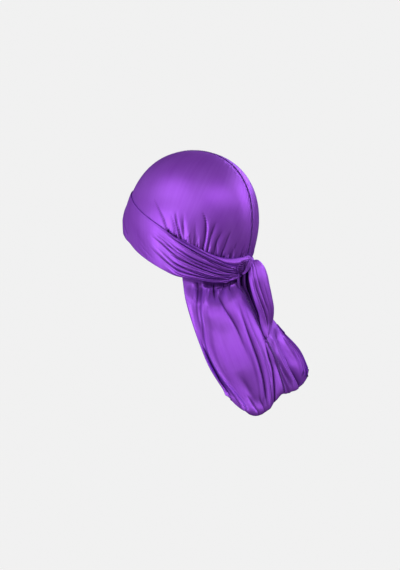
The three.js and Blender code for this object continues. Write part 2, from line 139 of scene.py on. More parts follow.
# On the crown: (turn, level), from the wraps upward
CROWN_CREASES = [
    (-1.43, 1.08, 0.35, 0, 0.6, [(16, -25), (7.5, -15.1), (2.1, 2.1), (-6.8, 21.1), (-14.3, 33.8)]),
    (0.5, 4.0, 0, 0, 0.6, [(11.5, -25), (4, -15.1), (-1.9, 2.1), (-10, 21.1)]),
    (-1.17, 1.3, 0, 0, 0.6, [(18, -27), (16.4, -13.6), (13.8, -0.7), (9.2, 14.1)]),
    (0.7, 2.6, 0, 0, 0.6, [(19.6, -28), (18.5, -13), (15.6, 1), (11.5, 15)]),
    (-2.73, 1.44, 0.3, 0, 0.5, [(23.5, -36), (21.8, -26.7), (17.5, -3.5), (16.6, 15.6)]),
    (1.0, 3.2, 0, 0, 0.5, [(27, -38), (25.4, -26), (20.8, -3.5), (19.5, 13)]),
    (-1.43, 2.16, 0, 0, 0.6, [(26.5, -38), (25.2, -21.1), (24.6, -3.5), (25.4, 14.7)]),
    (0.7, 4.2, 0, 0, 0.6, [(33, -44), (31, -26), (29.5, -6), (30, 8)]),
    (-1.04, 3.24, 0, 0, 0.6, [(38, -47), (37, -30), (36.5, -10), (37.5, 6)]),
    (-3.51, 1.44, -0.3, 0, 0.45, [(42, -52), (44.2, -42.2), (46.2, -23.9), (46.3, -3.5), (42.4, 16)]),
    (1.5, 3.0, 0, 0, 0.5, [(45.2, -52), (47.2, -41), (49.4, -24), (49.6, -5), (47.5, 10)]),
    (-2.21, 1.73, -0.3, 0, 0.5, [(48.5, -55), (49.5, -35.2), (51.7, -18), (57.2, 4)]),
    (0.9, 2.6, 0, 0, 0.5, [(52, -55), (53, -36), (55.8, -19), (60, -2)]),
    (-1.95, 1.58, -0.2, 0, 0.5, [(54.6, -56), (55.3, -45), (57, -28.1), (62.5, -10)]),
    (0.8, 2.4, 0, 0, 0.5, [(58.4, -56), (59.5, -42), (62, -26), (66, -14)]),
    (-1.56, 1.58, 0, 0, 0.5, [(61.8, -56), (62.5, -49.2), (66.4, -23.9), (69, -12)]),
    (0.7, 2.4, 0, 0, 0.5, [(66, -56), (67.5, -44), (71, -24)]),
    (-1.04, 1.73, 0, 0, 0.5, [(71.5, -54), (73, -42), (76, -26)])]

# Lines that part the main pleats of a wrap: turn, then the share from the low edge to the
# high edge of each line
PLEAT_LINES = [
    (-10, 0.2, 0.5, 0.66, 0.84, 0.97), (5, 0.15, 0.38, 0.6, 0.79, 0.96),
    (15, 0.09, 0.3, 0.53, 0.72, 0.945), (30, 0.06, 0.22, 0.45, 0.655, 0.885),
    (45, 0.1, 0.2, 0.42, 0.65, 0.845), (60, 0.15, 0.26, 0.44, 0.69, 0.86),
    (75, 0.25, 0.36, 0.51, 0.69, 0.84), (86, 0.36, 0.46, 0.54, 0.62, 0.72)]

# On a wrap: (turn, share from its low edge to its high edge), toward the knot
WRAP_CREASES = [
    (-0.8, 9.0, 0, 0.5, 0.5, [(-38, 0.75), (-32, 0.45), (-24, 0.1)]),
    (0.7, 10.0, 0, 0.5, 0.5, [(-16, 0.8), (-10, 0.5), (-2, 0.15)]),
    (-0.5, 1.4, 0, 0.5, 0.6, [(-36, 0.62), (-24, 0.4), (-12, 0.22)]),
    (-0.45, 1.3, 0, 0.5, 0.6, [(-30, 0.36), (-18, 0.2), (-6, 0.09)]),
    (-0.45, 1.3, 0, 0.5, 0.4, [(-34, 0.2), (-24, 0.1), (-14, 0.03)]),
    (-0.7, 1.1, 0.3, 0.6, 0.3, [(-14, 0.72), (0, 0.6), (14, 0.5), (26, 0.44)]),
    (-0.7, 1.1, 0.3, 0.6, 0.3, [(-18, 0.44), (-4, 0.3), (10, 0.2), (22, 0.14)]),
    (-0.6, 1.0, 0.3, 0.6, 0.3, [(-10, 0.86), (2, 0.78), (16, 0.68), (28, 0.6)])]

# On the tail: (across, drop), from the waist down
TAIL_CREASES = [
    (4.0, 4.2, -0.5, 0, 0, [(0.71, 0.05), (0.69, 0.19), (0.755, 0.363), (0.855, 0.553),
                             (0.865, 0.683), (0.805, 0.83), (0.7, 0.94), (0.66, 1.04)]),
    (1.6, 9.0, 0, 0.3, 0.3, [(0.6, 0.1), (0.6, 0.3), (0.68, 0.5), (0.7, 0.7), (0.62, 0.9)]),
    (-2.6, 5.2, 0, 0.05, 0.5, [(0.785, 0.05), (0.775, 0.2), (0.835, 0.36), (0.91, 0.54)]),
    (0.8, 3.6, 0, 0, 0.5, [(0.85, 0.05), (0.86, 0.2), (0.91, 0.38)]),
    (-5.4, 2.6, -0.3, 0.4, 0.4, [(0.945, 0.52), (0.92, 0.697), (0.89, 0.793), (0.875, 0.893),
                                 (0.81, 0.96)]),
    (2.4, 3.0, 0, 0.3, 0, [(0.985, 0.45), (0.985, 0.65), (0.97, 0.85), (0.92, 1.02)]),
    (-3.6, 2.6, 0.2, 0, 0.6, [(0.53, 0.03), (0.52, 0.09), (0.5, 0.14), (0.48, 0.22)]),
    (1.6, 2.6, 0, 0, 0.5, [(0.61, 0.04), (0.615, 0.1), (0.62, 0.2)]),
    (1.8, 3.0, 0, 0, 0.5, [(0.45, 0.04), (0.44, 0.1), (0.42, 0.18)]),
    (-2.2, 1.8, 0, 0, 0.6, [(0.345, 0.03), (0.34, 0.08), (0.32, 0.14)]),
    (-2.4, 1.8, 0, 0, 0.6, [(0.21, 0.03), (0.205, 0.09), (0.19, 0.17)]),
    (-2.6, 4.4, -0.3, 0.2, 0.5, [(0.455, 0.12), (0.36, 0.22), (0.315, 0.32), (0.305, 0.433),
                                 (0.315, 0.56), (0.33, 0.7)]),
    (2.2, 6.0, 0, 0.1, 0.4, [(0.26, 0.08), (0.245, 0.25), (0.25, 0.45), (0.3, 0.75)]),
    (-1.3, 1.8, 0, 0.3, 0.2, [(0.11, 0.2), (0.175, 0.37), (0.21, 0.547), (0.222, 0.67),
                              (0.24, 0.787), (0.27, 0.883), (0.33, 1.04)]),
    (1.5, 2.2, 0, 0.3, 0.1, [(0.22, 0.36), (0.256, 0.547), (0.268, 0.67), (0.288, 0.8),
                             (0.34, 0.95)]),
    (2.2, 2.2, 0, 0.3, 0, [(0.06, 0.2), (0.13, 0.37), (0.16, 0.547), (0.172, 0.67),
                           (0.192, 0.787), (0.22, 0.883), (0.28, 1.04)]),
    (-0.7, 1.6, 0, 0.4, 0.2, [(0.1, 0.5), (0.12, 0.65), (0.13, 0.77), (0.15, 0.88)]),
    (-3.4, 2.2, 0.2, 0.4, 0, [(0.02, 0.48), (0.045, 0.613), (0.06, 0.697), (0.07, 0.777),
                              (0.1, 0.85), (0.155, 0.957), (0.2, 1.04)]),
    (-3.0, 9.0, 0, 0.5, 0.4, [(0.55, 0.68), (0.47, 0.77), (0.42, 0.9), (0.4, 1)]),
    (-1.5, 2.6, 0, 0.5, 0, [(0.52, 0.84), (0.47, 0.92), (0.42, 1.02)]),
    (-1.3, 2.2, 0, 0.5, 0, [(0.36, 0.86), (0.35, 0.94), (0.34, 1.02)]),
    (2.4, 2.4, 0, 0.3, 0, [(0.01, 0.6), (-0.01, 0.733), (-0.04, 0.83), (-0.1, 0.93),
                           (-0.16, 1.03)]),
    (3.6, 3.2, 0, 0.3, 0.2, [(-0.18, 0.51), (-0.15, 0.583), (-0.11, 0.683), (-0.14, 0.787),
                             (-0.2, 0.87), (-0.27, 0.98)]),
    (-11.0, 10.5, 0, 0.35, 0, [(-0.56, 0.48), (-0.53, 0.563), (-0.51, 0.69), (-0.51, 0.81),
                               (-0.6, 0.93), (-0.7, 1.04)]),
    (-1.2, 1.4, 0, 0.3, 0.3, [(-0.3, 0.66), (-0.31, 0.76), (-0.38, 0.87), (-0.46, 0.97)]),
    (2.0, 4.0, 0, 0.3, 0.1, [(-0.8, 0.55), (-0.79, 0.717), (-0.76, 0.82), (-0.77, 0.94)]),
    (2.2, 6.0, 0, 0, 0.4, [(-0.22, 0.05), (-0.2, 0.2), (-0.18, 0.4)]),
    (-2.2, 3.0, 0, 0, 0.6, [(-0.44, 0.04), (-0.45, 0.2), (-0.5, 0.36)]),
    (1.2, 4.5, 0, 0, 0.6, [(-0.54, 0.04), (-0.56, 0.2), (-0.6, 0.36)]),
    (-1.8, 3.0, 0, 0, 0.7, [(-0.7, 0.04), (-0.73, 0.16), (-0.76, 0.3)]),
    (-1.2, 2.4, 0, 0, 0.7, [(-0.86, 0.05), (-0.87, 0.14), (-0.89, 0.26)])]

# On a strap end: (share of its width from the left edge, share of its length)
RIGHT_STRAP_CREASES = [
    (0.9, 1.6, 0.3, 0.1, 0.1, [(0.08, 0.03), (0.07, 0.3), (0.1, 0.6), (0.25, 0.95)]),
    (-0.9, 0.9, 0, 0.1, 0.1, [(0.15, 0.02), (0.13, 0.3), (0.17, 0.6), (0.34, 0.95)]),
    (0.7, 1.5, 0, 0.1, 0.2, [(0.22, 0.02), (0.19, 0.3), (0.24, 0.6), (0.4, 0.9)]),
    (-0.6, 0.9, 0, 0.1, 0.3, [(0.29, 0.0), (0.27, 0.25), (0.32, 0.55), (0.42, 0.8)]),
    (2.8, 8.0, 0, 0.1, 0.3, [(0.62, 0.02), (0.64, 0.25), (0.64, 0.55), (0.6, 0.85)]),
    (-0.4, 1.0, 0, 0.3, 0.1, [(0.46, 0.3), (0.47, 0.5), (0.5, 0.72), (0.52, 0.96)]),
    (-0.7, 1.2, 0.2, 0.3, 0.1, [(0.74, 0.5), (0.71, 0.64), (0.66, 0.8), (0.6, 0.97)]),
    (-0.5, 1.0, 0, 0.3, 0.1, [(0.88, 0.4), (0.86, 0.55), (0.82, 0.75), (0.72, 0.96)]),
    (-1.8, 1.2, 0, 0.02, 0.5, [(0.78, 0.03), (0.85, 0.08), (0.94, 0.13)]),
    (-0.8, 1.0, 0, 0.02, 0.5, [(0.5, 0.0), (0.53, 0.07), (0.6, 0.16)])]
LEFT_STRAP_CREASES = [
    (2.6, 1.5, 0, 0.05, 0.1, [(0.08, 0), (0.09, 0.4), (0.2, 0.95)]),
    (-4.0, 1.3, 0, 0.05, 0.1, [(0.22, 0), (0.22, 0.4), (0.32, 0.95)]),
    (2.2, 1.4, 0, 0.05, 0.1, [(0.36, 0), (0.36, 0.4), (0.44, 0.95)]),
    (-4.0, 1.5, 0, 0.05, 0.1, [(0.52, 0), (0.51, 0.4), (0.56, 0.95)]),
    (2.0, 1.6, 0, 0.05, 0.1, [(0.68, 0), (0.67, 0.4), (0.68, 0.95)]),
    (-3.0, 1.4, 0, 0.05, 0.1, [(0.84, 0), (0.82, 0.4), (0.78, 0.95)])]

# Small creases drawn at random: how many, height in mm, width in mm
CAP_GATHERS = (44, 1.5, 1.05)
FINE_CAP_GATHERS = (24, 1.1, 0.8)
WRAP_STREAKS = (46, 0.8, 0.8)
FINE_WRAP_STREAKS = (30, 1.2, 0.6)
STRAP_GATHERS = (9, 0.45, 1.0)
TAIL_GATHERS = (44, 0.7, 1.3)
NAPE_STREAKS = 16

# Seeds of the pieces, and what is added to one for its finest creases
CAP_SEEDS = (21, 22)
WRAP_SEEDS = (41, 42)
NAPE_SEED = 31
STRAP_SEEDS = (61, 62)
TAIL_SEED = 5
FINEST = 60


# Curves and creases

LINE_STEPS = 6  # points of a crease's line for each point of its path
CREASE_REACH = 4  # how many widths away a crease can be felt
VALLEY_ROUNDING = 0.35  # round bottom of a valley, as a share of its width
VALLEY_SPREAD = 0.8
RIDGE_SHARE = 0.35  # share of the small creases that are ridges
SMALL_STEP = 1e-3  # in direction, width or length, to find how a surface lies


def through(keys, values, at):
    """Smooth curve through values at keys. Each value is one number or one for each place."""
    keys = np.asarray(keys, float)
    at = np.asarray(at, float)
    flat = np.clip(at.ravel(), keys[0], keys[-1])
    values = np.stack([np.broadcast_to(np.asarray(v, float), at.shape).ravel() for v in values])
    span = np.diff(keys)[:, None]
    slope = np.diff(values, axis=0) / span
    tangent = np.concatenate([
        slope[:1], (slope[:-1] * span[1:] + slope[1:] * span[:-1]) / (span[:-1] + span[1:]),
        slope[-1:]])
    i = np.clip(np.searchsorted(keys, flat, side="right") - 1, 0, len(span) - 1)
    place = np.arange(flat.size)
    width = span[i, 0]
    s = (flat - keys[i]) / width
    rest = 1 - s
    result = ((1 + 2 * s) * rest ** 2 * values[i, place]
              + s ** 2 * (3 - 2 * s) * values[i + 1, place]
              + s * rest * width * (rest * tangent[i, place] - s * tangent[i + 1, place]))
    return result.reshape(at.shape)


def read(table, column, at):
    """Smooth curve through a column of a table, whose first column is the place."""
    return through([row[0] for row in table], [row[column] for row in table], at)


def lerp(a, b, share):
    return a + (b - a) * share


def smoothstep(x, low, high):
    s = np.clip((x - low) / (high - low), 0, 1)
    return s * s * (3 - 2 * s)


def unit(vectors):
    return vectors / np.maximum(np.linalg.norm(vectors, axis=-1, keepdims=True), 1e-12)


def dot(a, b):
    return np.sum(a * b, axis=-1, keepdims=True)


def crease_height(x, y, creases):
    """Height in mm that creases give at places (x, y), which like their paths are in mm. A
    ridge is round, and a valley is sharp."""
    total = np.zeros(x.shape)
    for height, width, lean, start, end, path in creases:
        path = np.array(path, float)
        steps = np.linspace(0, len(path) - 1, LINE_STEPS * len(path))
        line = np.stack([through(range(len(path)), path[:, k], steps) for k in (0, 1)], -1)
        reach = CREASE_REACH * width
        low, high = line.min(0) - reach, line.max(0) + reach
        near = (x > low[0]) & (x < high[0]) & (y > low[1]) & (y < high[1])
        if not near.any():
            continue
        px, py = x[near], y[near]
        best = np.full(px.shape, np.inf)
        share = np.zeros(px.shape)
        side = np.zeros(px.shape)
        for k in range(len(line) - 1):
            ax, ay = line[k]
            dx, dy = line[k + 1] - line[k]
            s = np.clip(((px - ax) * dx + (py - ay) * dy) / (dx * dx + dy * dy), 0, 1)
            ex, ey = px - ax - s * dx, py - ay - s * dy
            away = np.hypot(ex, ey)
            closer = away < best
            best = np.where(closer, away, best)
            side = np.where(closer, np.sign(dx * ey - dy * ex), side)
            share = np.where(closer, (k + s) / (len(line) - 1), share)
        slope = width * (1 - lean * side)
        if height < 0:
            rounding = VALLEY_ROUNDING * slope
            shape = np.exp(-(np.hypot(best, rounding) - rounding) / (VALLEY_SPREAD * slope))
        else:
            shape = np.exp(-(best / slope) ** 2)
        if start > 0:
            shape = shape * smoothstep(share, 0, start)
        if end > 0:
            shape = shape * (1 - smoothstep(share, 1 - end, 1))
        total[near] += height * shape
    return total


def to_mm(creases, point):
    """The same creases with each point of their paths turned to mm by a function."""
    return [(*crease[:5], [point(*p) for p in crease[5]]) for crease in creases]


def small_creases(rng, place, count, height, width, lean=0, start=0.02, end=0.7):
    """Short creases of seeded size. place gives the path of each from three random shares."""
    made = []
    for _ in range(count):
        a, b, c = rng.random(3)
        size = height * lerp(0.5, 1, rng.random())
        way = 1 if rng.random() < RIDGE_SHARE else -1
        made.append((size * way, width * lerp(0.6, 1.2, rng.random()), lean, start, end,
                     place(a, b, c)))
    return made


def other_side(creases, rng, weakest, furthest, move):
    """Creases of the far side: the same ones, each a little weaker or stronger, and moved."""
    shifts = rng.uniform(-furthest, furthest, len(creases))
    return [(crease[0] * lerp(weakest, 1.1, rng.random()), *crease[1:5],
             [move(*point, shift) for point in crease[5]])
            for crease, shift in zip(creases, shifts)]


# Form of the crown

def closing_depth(turn):
    """Depth below the widest level at which the form would close."""
    side = np.sin(turn)
    return EAR_DEPTH + (np.where(side < 0, TEMPLE_DEPTH, NAPE_DEPTH) - EAR_DEPTH) * side ** 2


def form_power(turn, above):
    """How full the form's outline is. 2 is an ellipse."""
    return np.where(above, 2 + CROWN_FULLNESS * (0.5 + 0.5 * np.sin(turn)) ** 2, 2.0)


def direction_at(turn, level):
    """Direction in which the form reaches a level at a turn."""
    turn, level = np.broadcast_arrays(np.asarray(turn, float), np.asarray(level, float))
    above = level >= 0
    share = np.minimum(1, np.abs(level) / np.where(above, CROWN_HEIGHT, closing_depth(turn)))
    rise = np.sign(level) * np.arcsin(share ** (form_power(turn, above) / 2))
    return np.stack([np.cos(rise) * np.cos(turn), np.cos(rise) * np.sin(turn), np.sin(rise)], -1)


def crown_point(direction):
    """Points of the crown's outer face as if it had no gathers."""
    x, y, z = np.moveaxis(direction, -1, 0)
    turn = np.arctan2(y, x)
    above = z >= 0
    power = form_power(turn, above)
    side = np.sin(turn)
    share = np.abs(z) ** (2 / power)
    reach = np.hypot(x, y) ** (2 / power)
    brow = np.where(above & (side < 0), BROW_FLATNESS * side ** 2 * 4 * share * (1 - share), 0)
    pinch = np.where(above, 0, NAPE_PINCH * np.maximum(0, side) ** 4 * share ** 2 / (share + 0.15))
    return np.stack([
        CROWN_WIDTH / 2 * reach * np.cos(turn) * (1 - brow) * (1 - pinch),
        CROWN_LENGTH / 2 * reach * side * (1 - brow),
        np.where(above, CROWN_HEIGHT * share, -closing_depth(turn) * share)], -1)


def over_crown(direction, height):
    """Points at a height over the smooth crown, square to it."""
    helper = np.where(np.abs(direction[..., 1:2]) < 0.9, [0.0, 1.0, 0.0], [0.0, 0.0, 1.0])
    along = unit(np.cross(direction, helper))
    across = np.cross(direction, along)

    def difference(axis):
        return (crown_point(unit(direction + axis * SMALL_STEP))
                - crown_point(unit(direction - axis * SMALL_STEP)))

    normal = unit(np.cross(difference(along), difference(across)))
    point = crown_point(direction)
    return point + normal * np.sign(dot(normal, point)) * np.asarray(height)[..., None]


def on_left(degrees):
    """Turns past the nape, read as the same place on the left side."""
    return np.where(degrees > 90, 180 - degrees, degrees)


def rim_level(turn):
    """Level of the cap's lower edge, which lies under the wraps."""
    return WRAP_DROP * read(WRAP_EDGES, 1, on_left(np.degrees(turn))) + RIM_INSET


def wrap_top(degrees):
    """Level of what covers the crown's lower part at a turn."""
    near = on_left(degrees)
    high = WRAP_DROP * read(WRAP_EDGES, 2, near)
    nape_top = WRAP_DROP * read(NAPE_EDGES, 1, near)
    return np.where(near > NAPE_EDGES[0][0], np.maximum(high, nape_top), high)


def between(start, end, share):
    """Direction at a share of the way from one direction to another."""
    angle = np.arccos(np.clip(dot(start, end), -1, 1))
    share = share[..., None]
    return (start * np.sin((1 - share) * angle) + end * np.sin(share * angle)) / np.sin(angle)


# Form of the tail

ROWS_ABOVE_HANG = (-0.16, -0.08, 0, TAIL_WAIST)


def tail_point(across, drop):
    """Points of the tail without its folds. across goes from -1 at its right side to 1 at its
    left side, and drop from 0 at the rim to 1 at the hem."""
    across, drop = np.broadcast_arrays(np.asarray(across, float), np.asarray(drop, float))
    turn = lerp(math.pi / 2, TAIL_TURN, across)
    length = TAIL_LENGTH * read(TAIL_HEM, 1, across)

    def below_rim(share, around):
        return crown_point(direction_at(around, rim_level(around) - SEAM_GAP - share * length))

    middle = below_rim(TAIL_WAIST, math.pi / 2)
    edge = below_rim(TAIL_WAIST, TAIL_TURN)
    arc = np.abs(across) * math.pi / 2
    left = across >= 0
    drops, xs, ys = [], [], []
    for share in ROWS_ABOVE_HANG:
        point = below_rim(share, turn)
        drops.append(share)
        xs.append(point[..., 0])
        ys.append(point[..., 1])
    for (share, middle_back, left_back, right_back,
         middle_side, left_side, right_side, roundness) in TAIL_HANG:
        sideways = lerp(np.abs(across), np.sin(arc), roundness)
        forward = lerp(np.abs(across), 1 - np.cos(arc), roundness)
        side = np.where(left, left_side, right_side)
        back = np.where(left, left_back, right_back)
        drops.append(share)
        xs.append(TAIL_HALF_WIDTH * lerp(middle_side, side, sideways))
        ys.append(lerp(middle[..., 1] + TAIL_SWEEP * middle_back,
                       edge[..., 1] + TAIL_SWEEP * back, forward))
    return np.stack([through(drops, xs, drop), through(drops, ys, drop),
                     rim_level(turn) - SEAM_GAP - drop * length], -1)


def over_tail(across, drop, height):
    """Points at a height over the tail's surface, square to it."""
    normal = unit(np.cross(
        tail_point(across + SMALL_STEP, drop) - tail_point(across - SMALL_STEP, drop),
        tail_point(across, drop + SMALL_STEP) - tail_point(across, drop - SMALL_STEP)))
    point = tail_point(across, drop)
    normal *= np.sign(normal[..., :1] * point[..., :1] + normal[..., 1:2] * point[..., 1:2])
    return point + normal * np.asarray(height)[..., None]


# Meshes

# Painted shade in folds, from folds of three sizes: how far round a place is looked at in mm,
# the depth in mm that counts as full, and the share of the painted shade that it gives
FOLD_SHADE_SIZES = [(1.6, 0.35, 0.45), (4.5, 1.3, 0.45), (10, 3.2, 0.45)]
HEM_WIDTH = 1.6

# The node of the CAD part that each piece stands for
STANDS_FOR = {
    "crown_half_left": "cap_left", "crown_half_right": "cap_right", "crown_overlock": "crown_seam",
    "wrap_left_pleated": "wrap_left", "wrap_right_pleated": "wrap_right",
    "nape_turn": "nape_band", "tied_knot": "knot", "strap_end_left_hanging": "strap_end_left",
    "strap_end_right_hanging": "strap_end_right", "flap_left": "tail_left",
    "flap_right": "tail_right", "flap_overlock": "tail_seam"}


def grid(columns, rows):
    """Shares across and down a sheet, from 0 to 1."""
    return np.meshgrid(np.linspace(0, 1, columns + 1), np.linspace(0, 1, rows + 1), indexing="ij")


def grid_faces(columns, rows):
    """Faces of a grid of points, and the column and row of each point round its edge."""
    i, j = np.meshgrid(np.arange(columns), np.arange(rows), indexing="ij")
    corner = (i * (rows + 1) + j).ravel()
    quads = np.stack([corner, corner + rows + 1, corner + rows + 2, corner + 1], -1)
    loop = ([(c, 0) for c in range(columns)] + [(columns, r) for r in range(rows)]
            + [(c, rows) for c in range(columns, 0, -1)] + [(0, r) for r in range(rows, 0, -1)])
    return quads, *np.array(loop).T


def grid_normal(points):
    return unit(np.cross(np.gradient(points, axis=0), np.gradient(points, axis=1)))


def laid_flat(points):
    """Mean length across and down a sheet to each of its points."""
    lengths = [np.linalg.norm(np.diff(points, axis=axis), axis=-1).mean(1 - axis) for axis in (0, 1)]
    across, down = [np.concatenate([[0], np.cumsum(steps)]) for steps in lengths]
    return np.stack(np.meshgrid(across, down, indexing="ij"), -1)


def mean_along(points, k, axis):
    """Each point's mean with the k points on either side of it along one axis."""
    ends = [(k, k) if a == axis else (0, 0) for a in range(3)]
    total = np.cumsum(np.pad(points, ends, mode="reflect", reflect_type="odd"), axis=axis)
    total = np.concatenate([np.zeros_like(np.take(total, [0], axis)), total], axis=axis)
    count = points.shape[axis]
    return (np.take(total, range(2 * k + 1, 2 * k + 1 + count), axis)
            - np.take(total, range(count), axis)) / (2 * k + 1)


def fold_depth(points, normal):
    """How deep in a fold each place of a grid lies, from 0 to 1."""
    painted_shade = np.zeros(points.shape[:2])
    steps = [np.linalg.norm(np.diff(points, axis=axis), axis=-1).mean() for axis in (0, 1)]
    for reach, full, weight in FOLD_SHADE_SIZES:
        mean = points
        for axis in (0, 1):
            mean = mean_along(mean, max(1, int(round(reach / steps[axis]))), axis)
        painted_shade += weight * np.clip(np.sum((mean - points) * normal, axis=-1) / full, 0, 1)
    return np.minimum(painted_shade, 1)


# A shell is its vertices in mm, its faces, and for each vertex its lengths along the cut, its
# closeness to a hem and its depth in a fold, which sets how much painted shade it gets.

def cloth(points, wall, hems=(True, True, True, True)):
    """Closed shell of cloth from the grid of its outer face, with half-round edges. hems says
    which edges are hemmed: first column, last column, first row, last row."""
    columns, rows = points.shape[0] - 1, points.shape[1] - 1
    normal = grid_normal(points)
    facing = np.sign(np.sum(normal[..., :2] * points[..., :2]))
    inner = points - wall * facing * normal
    middle = (points + inner) / 2
    cut = laid_flat(points)
    from_hem = np.full(points.shape[:2], 1e3)
    for hemmed, distance in zip(hems, (cut[..., 0], cut[-1, 0, 0] - cut[..., 0],
                                       cut[..., 1], cut[0, -1, 1] - cut[..., 1])):
        if hemmed:
            from_hem = np.minimum(from_hem, distance)
    hem = np.exp(-from_hem / HEM_WIDTH)
    painted_fold_shade = fold_depth(points, facing * normal)

    quads, li, lj = grid_faces(columns, rows)
    inside = middle[np.clip(li, 1, columns - 1), np.clip(lj, 1, rows - 1)]
    edge = middle[li, lj] + unit(middle[li, lj] - inside) * wall / 2
    half = (columns + 1) * (rows + 1)
    outer = li * (rows + 1) + lj
    ring = 2 * half + np.arange(len(li))
    after = np.roll(np.arange(len(li)), -1)
    faces = np.concatenate([
        quads, quads[:, ::-1] + half,
        np.stack([outer[after], outer, ring, ring[after]], -1),
        np.stack([ring[after], ring, outer + half, outer[after] + half], -1)])
    if facing < 0:
        faces = faces[:, ::-1]
    return (np.concatenate([points.reshape(-1, 3), inner.reshape(-1, 3), edge]), faces.tolist(),
            np.concatenate([cut.reshape(-1, 2)] * 2 + [cut[li, lj]]),
            np.concatenate([hem.ravel()] * 2 + [hem[li, lj]]),
            np.concatenate([painted_fold_shade.ravel()] * 2 + [painted_fold_shade[li, lj]]))


def solid_between(top, bottom):
    """Closed shell between two grids of points."""
    columns, rows = top.shape[0] - 1, top.shape[1] - 1
    quads, li, lj = grid_faces(columns, rows)
    half = (columns + 1) * (rows + 1)
    ids = li * (rows + 1) + lj
    after = np.roll(ids, -1)
    faces = np.concatenate([quads, quads[:, ::-1] + half,
                            np.stack([after, ids, ids + half, after + half], -1)])
    normal = grid_normal(top)
    facing = np.sign(np.sum(normal * (top - bottom)))
    if facing < 0:
        faces = faces[:, ::-1]
    cut = laid_flat(top).reshape(-1, 2)
    painted_fold_shade = fold_depth(top, facing * normal).ravel()
    return (np.concatenate([top.reshape(-1, 3), bottom.reshape(-1, 3)]), faces.tolist(),
            np.concatenate([cut, cut]), np.zeros(2 * half), np.concatenate([painted_fold_shade, painted_fold_shade]))


def thread(path, radius, sides=6):
    """Closed tube of thread along a path of points."""
    along = unit(np.gradient(path, axis=0))
    first = unit(np.cross(along, [0.31, 0.57, 0.76]))
    second = np.cross(along, first)
    angle = np.arange(sides) * 2 * math.pi / sides
    ring = (path[:, None] + radius * (np.cos(angle)[:, None] * first[:, None]
                                      + np.sin(angle)[:, None] * second[:, None]))
    tips = path[[0, -1]] + along[[0, -1]] * radius * np.array([[-0.6], [0.6]])
    count = len(path)
    k, s = np.meshgrid(np.arange(count - 1), np.arange(sides), indexing="ij")
    after = (s + 1) % sides
    quads = np.stack([k * sides + s, k * sides + after,
                      (k + 1) * sides + after, (k + 1) * sides + s], -1)
    base, tip = (count - 1) * sides, count * sides
    start = [(tip, (n + 1) % sides, n) for n in range(sides)]
    end = [(tip + 1, base + n, base + (n + 1) % sides) for n in range(sides)]
    vertices = np.concatenate([ring.reshape(-1, 3), tips])
    plain = np.zeros(len(vertices))
    return (vertices, [*quads.reshape(-1, 4).tolist(), *start, *end],
            np.zeros((len(vertices), 2)), plain, plain)


def with_painted_shade(shell, painted_shade):
    """The same shell with more painted shade, as if it lay deeper among the folds round it."""
    return (*shell[:4], np.minimum(1, shell[4] + painted_shade))


def piece(name, shells, material):
    """One object of closed shells, moved to the part's origin and to metres."""
    points, cut, hem, painted_fold_shade = [np.concatenate([shell[k] for shell in shells]) for k in (0, 2, 3, 4)]
    faces, first = [], 0
    for shell in shells:
        faces.extend([[k + first for k in face] for face in shell[1]])
        first += len(shell[0])
    points = (points + [0, 0, SOLID_CLOTH - CROWN_HEIGHT]) / 1000
    mesh = bpy.data.meshes.new(name)
    mesh.from_pydata(points.tolist(), [], faces)
    mesh.shade_smooth()
    corner = np.empty(len(mesh.loops), dtype=np.int32)
    mesh.loops.foreach_get("vertex_index", corner)
    layer = mesh.uv_layers.new(name="cut")
    layer.data.foreach_set("uv", (cut / 1000)[corner].astype(np.float32).ravel())
    for kind, values in (("hem", hem), ("painted_fold_shade", painted_fold_shade)):
        layer = mesh.attributes.new(kind, "FLOAT", "POINT")
        layer.data.foreach_set("value", values.astype(np.float32))
    mesh.materials.append(material)
    made = bpy.data.objects.new(name, mesh)
    bpy.context.scene.collection.objects.link(made)
    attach(made, "root")
    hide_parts(STANDS_FOR[name])
    return made


# Finishes

def linear(colour):
    """A colour given as sRGB hex, turned to linear light."""
    shares = [int(colour[k:k + 2], 16) / 255 for k in (1, 3, 5)]
    return (*[s / 12.92 if s <= 0.04045 else ((s + 0.055) / 1.055) ** 2.4 for s in shares], 1)


def add(tree, kind, settings=None, inputs=None):
    """Adds a node. Each input is a value or the socket that feeds it."""
    made = tree.nodes.new(kind)
    for name, value in (settings or {}).items():
        setattr(made, name, value)
    for name, value in (inputs or {}).items():
        if isinstance(value, bpy.types.NodeSocket):
            tree.links.new(value, made.inputs[name])
        else:
            made.inputs[name].default_value = value
    return made


def new_finish(name):
    material = bpy.data.materials.new(name)
    material.use_nodes = True
    material.node_tree.nodes.clear()
    return material, material.node_tree


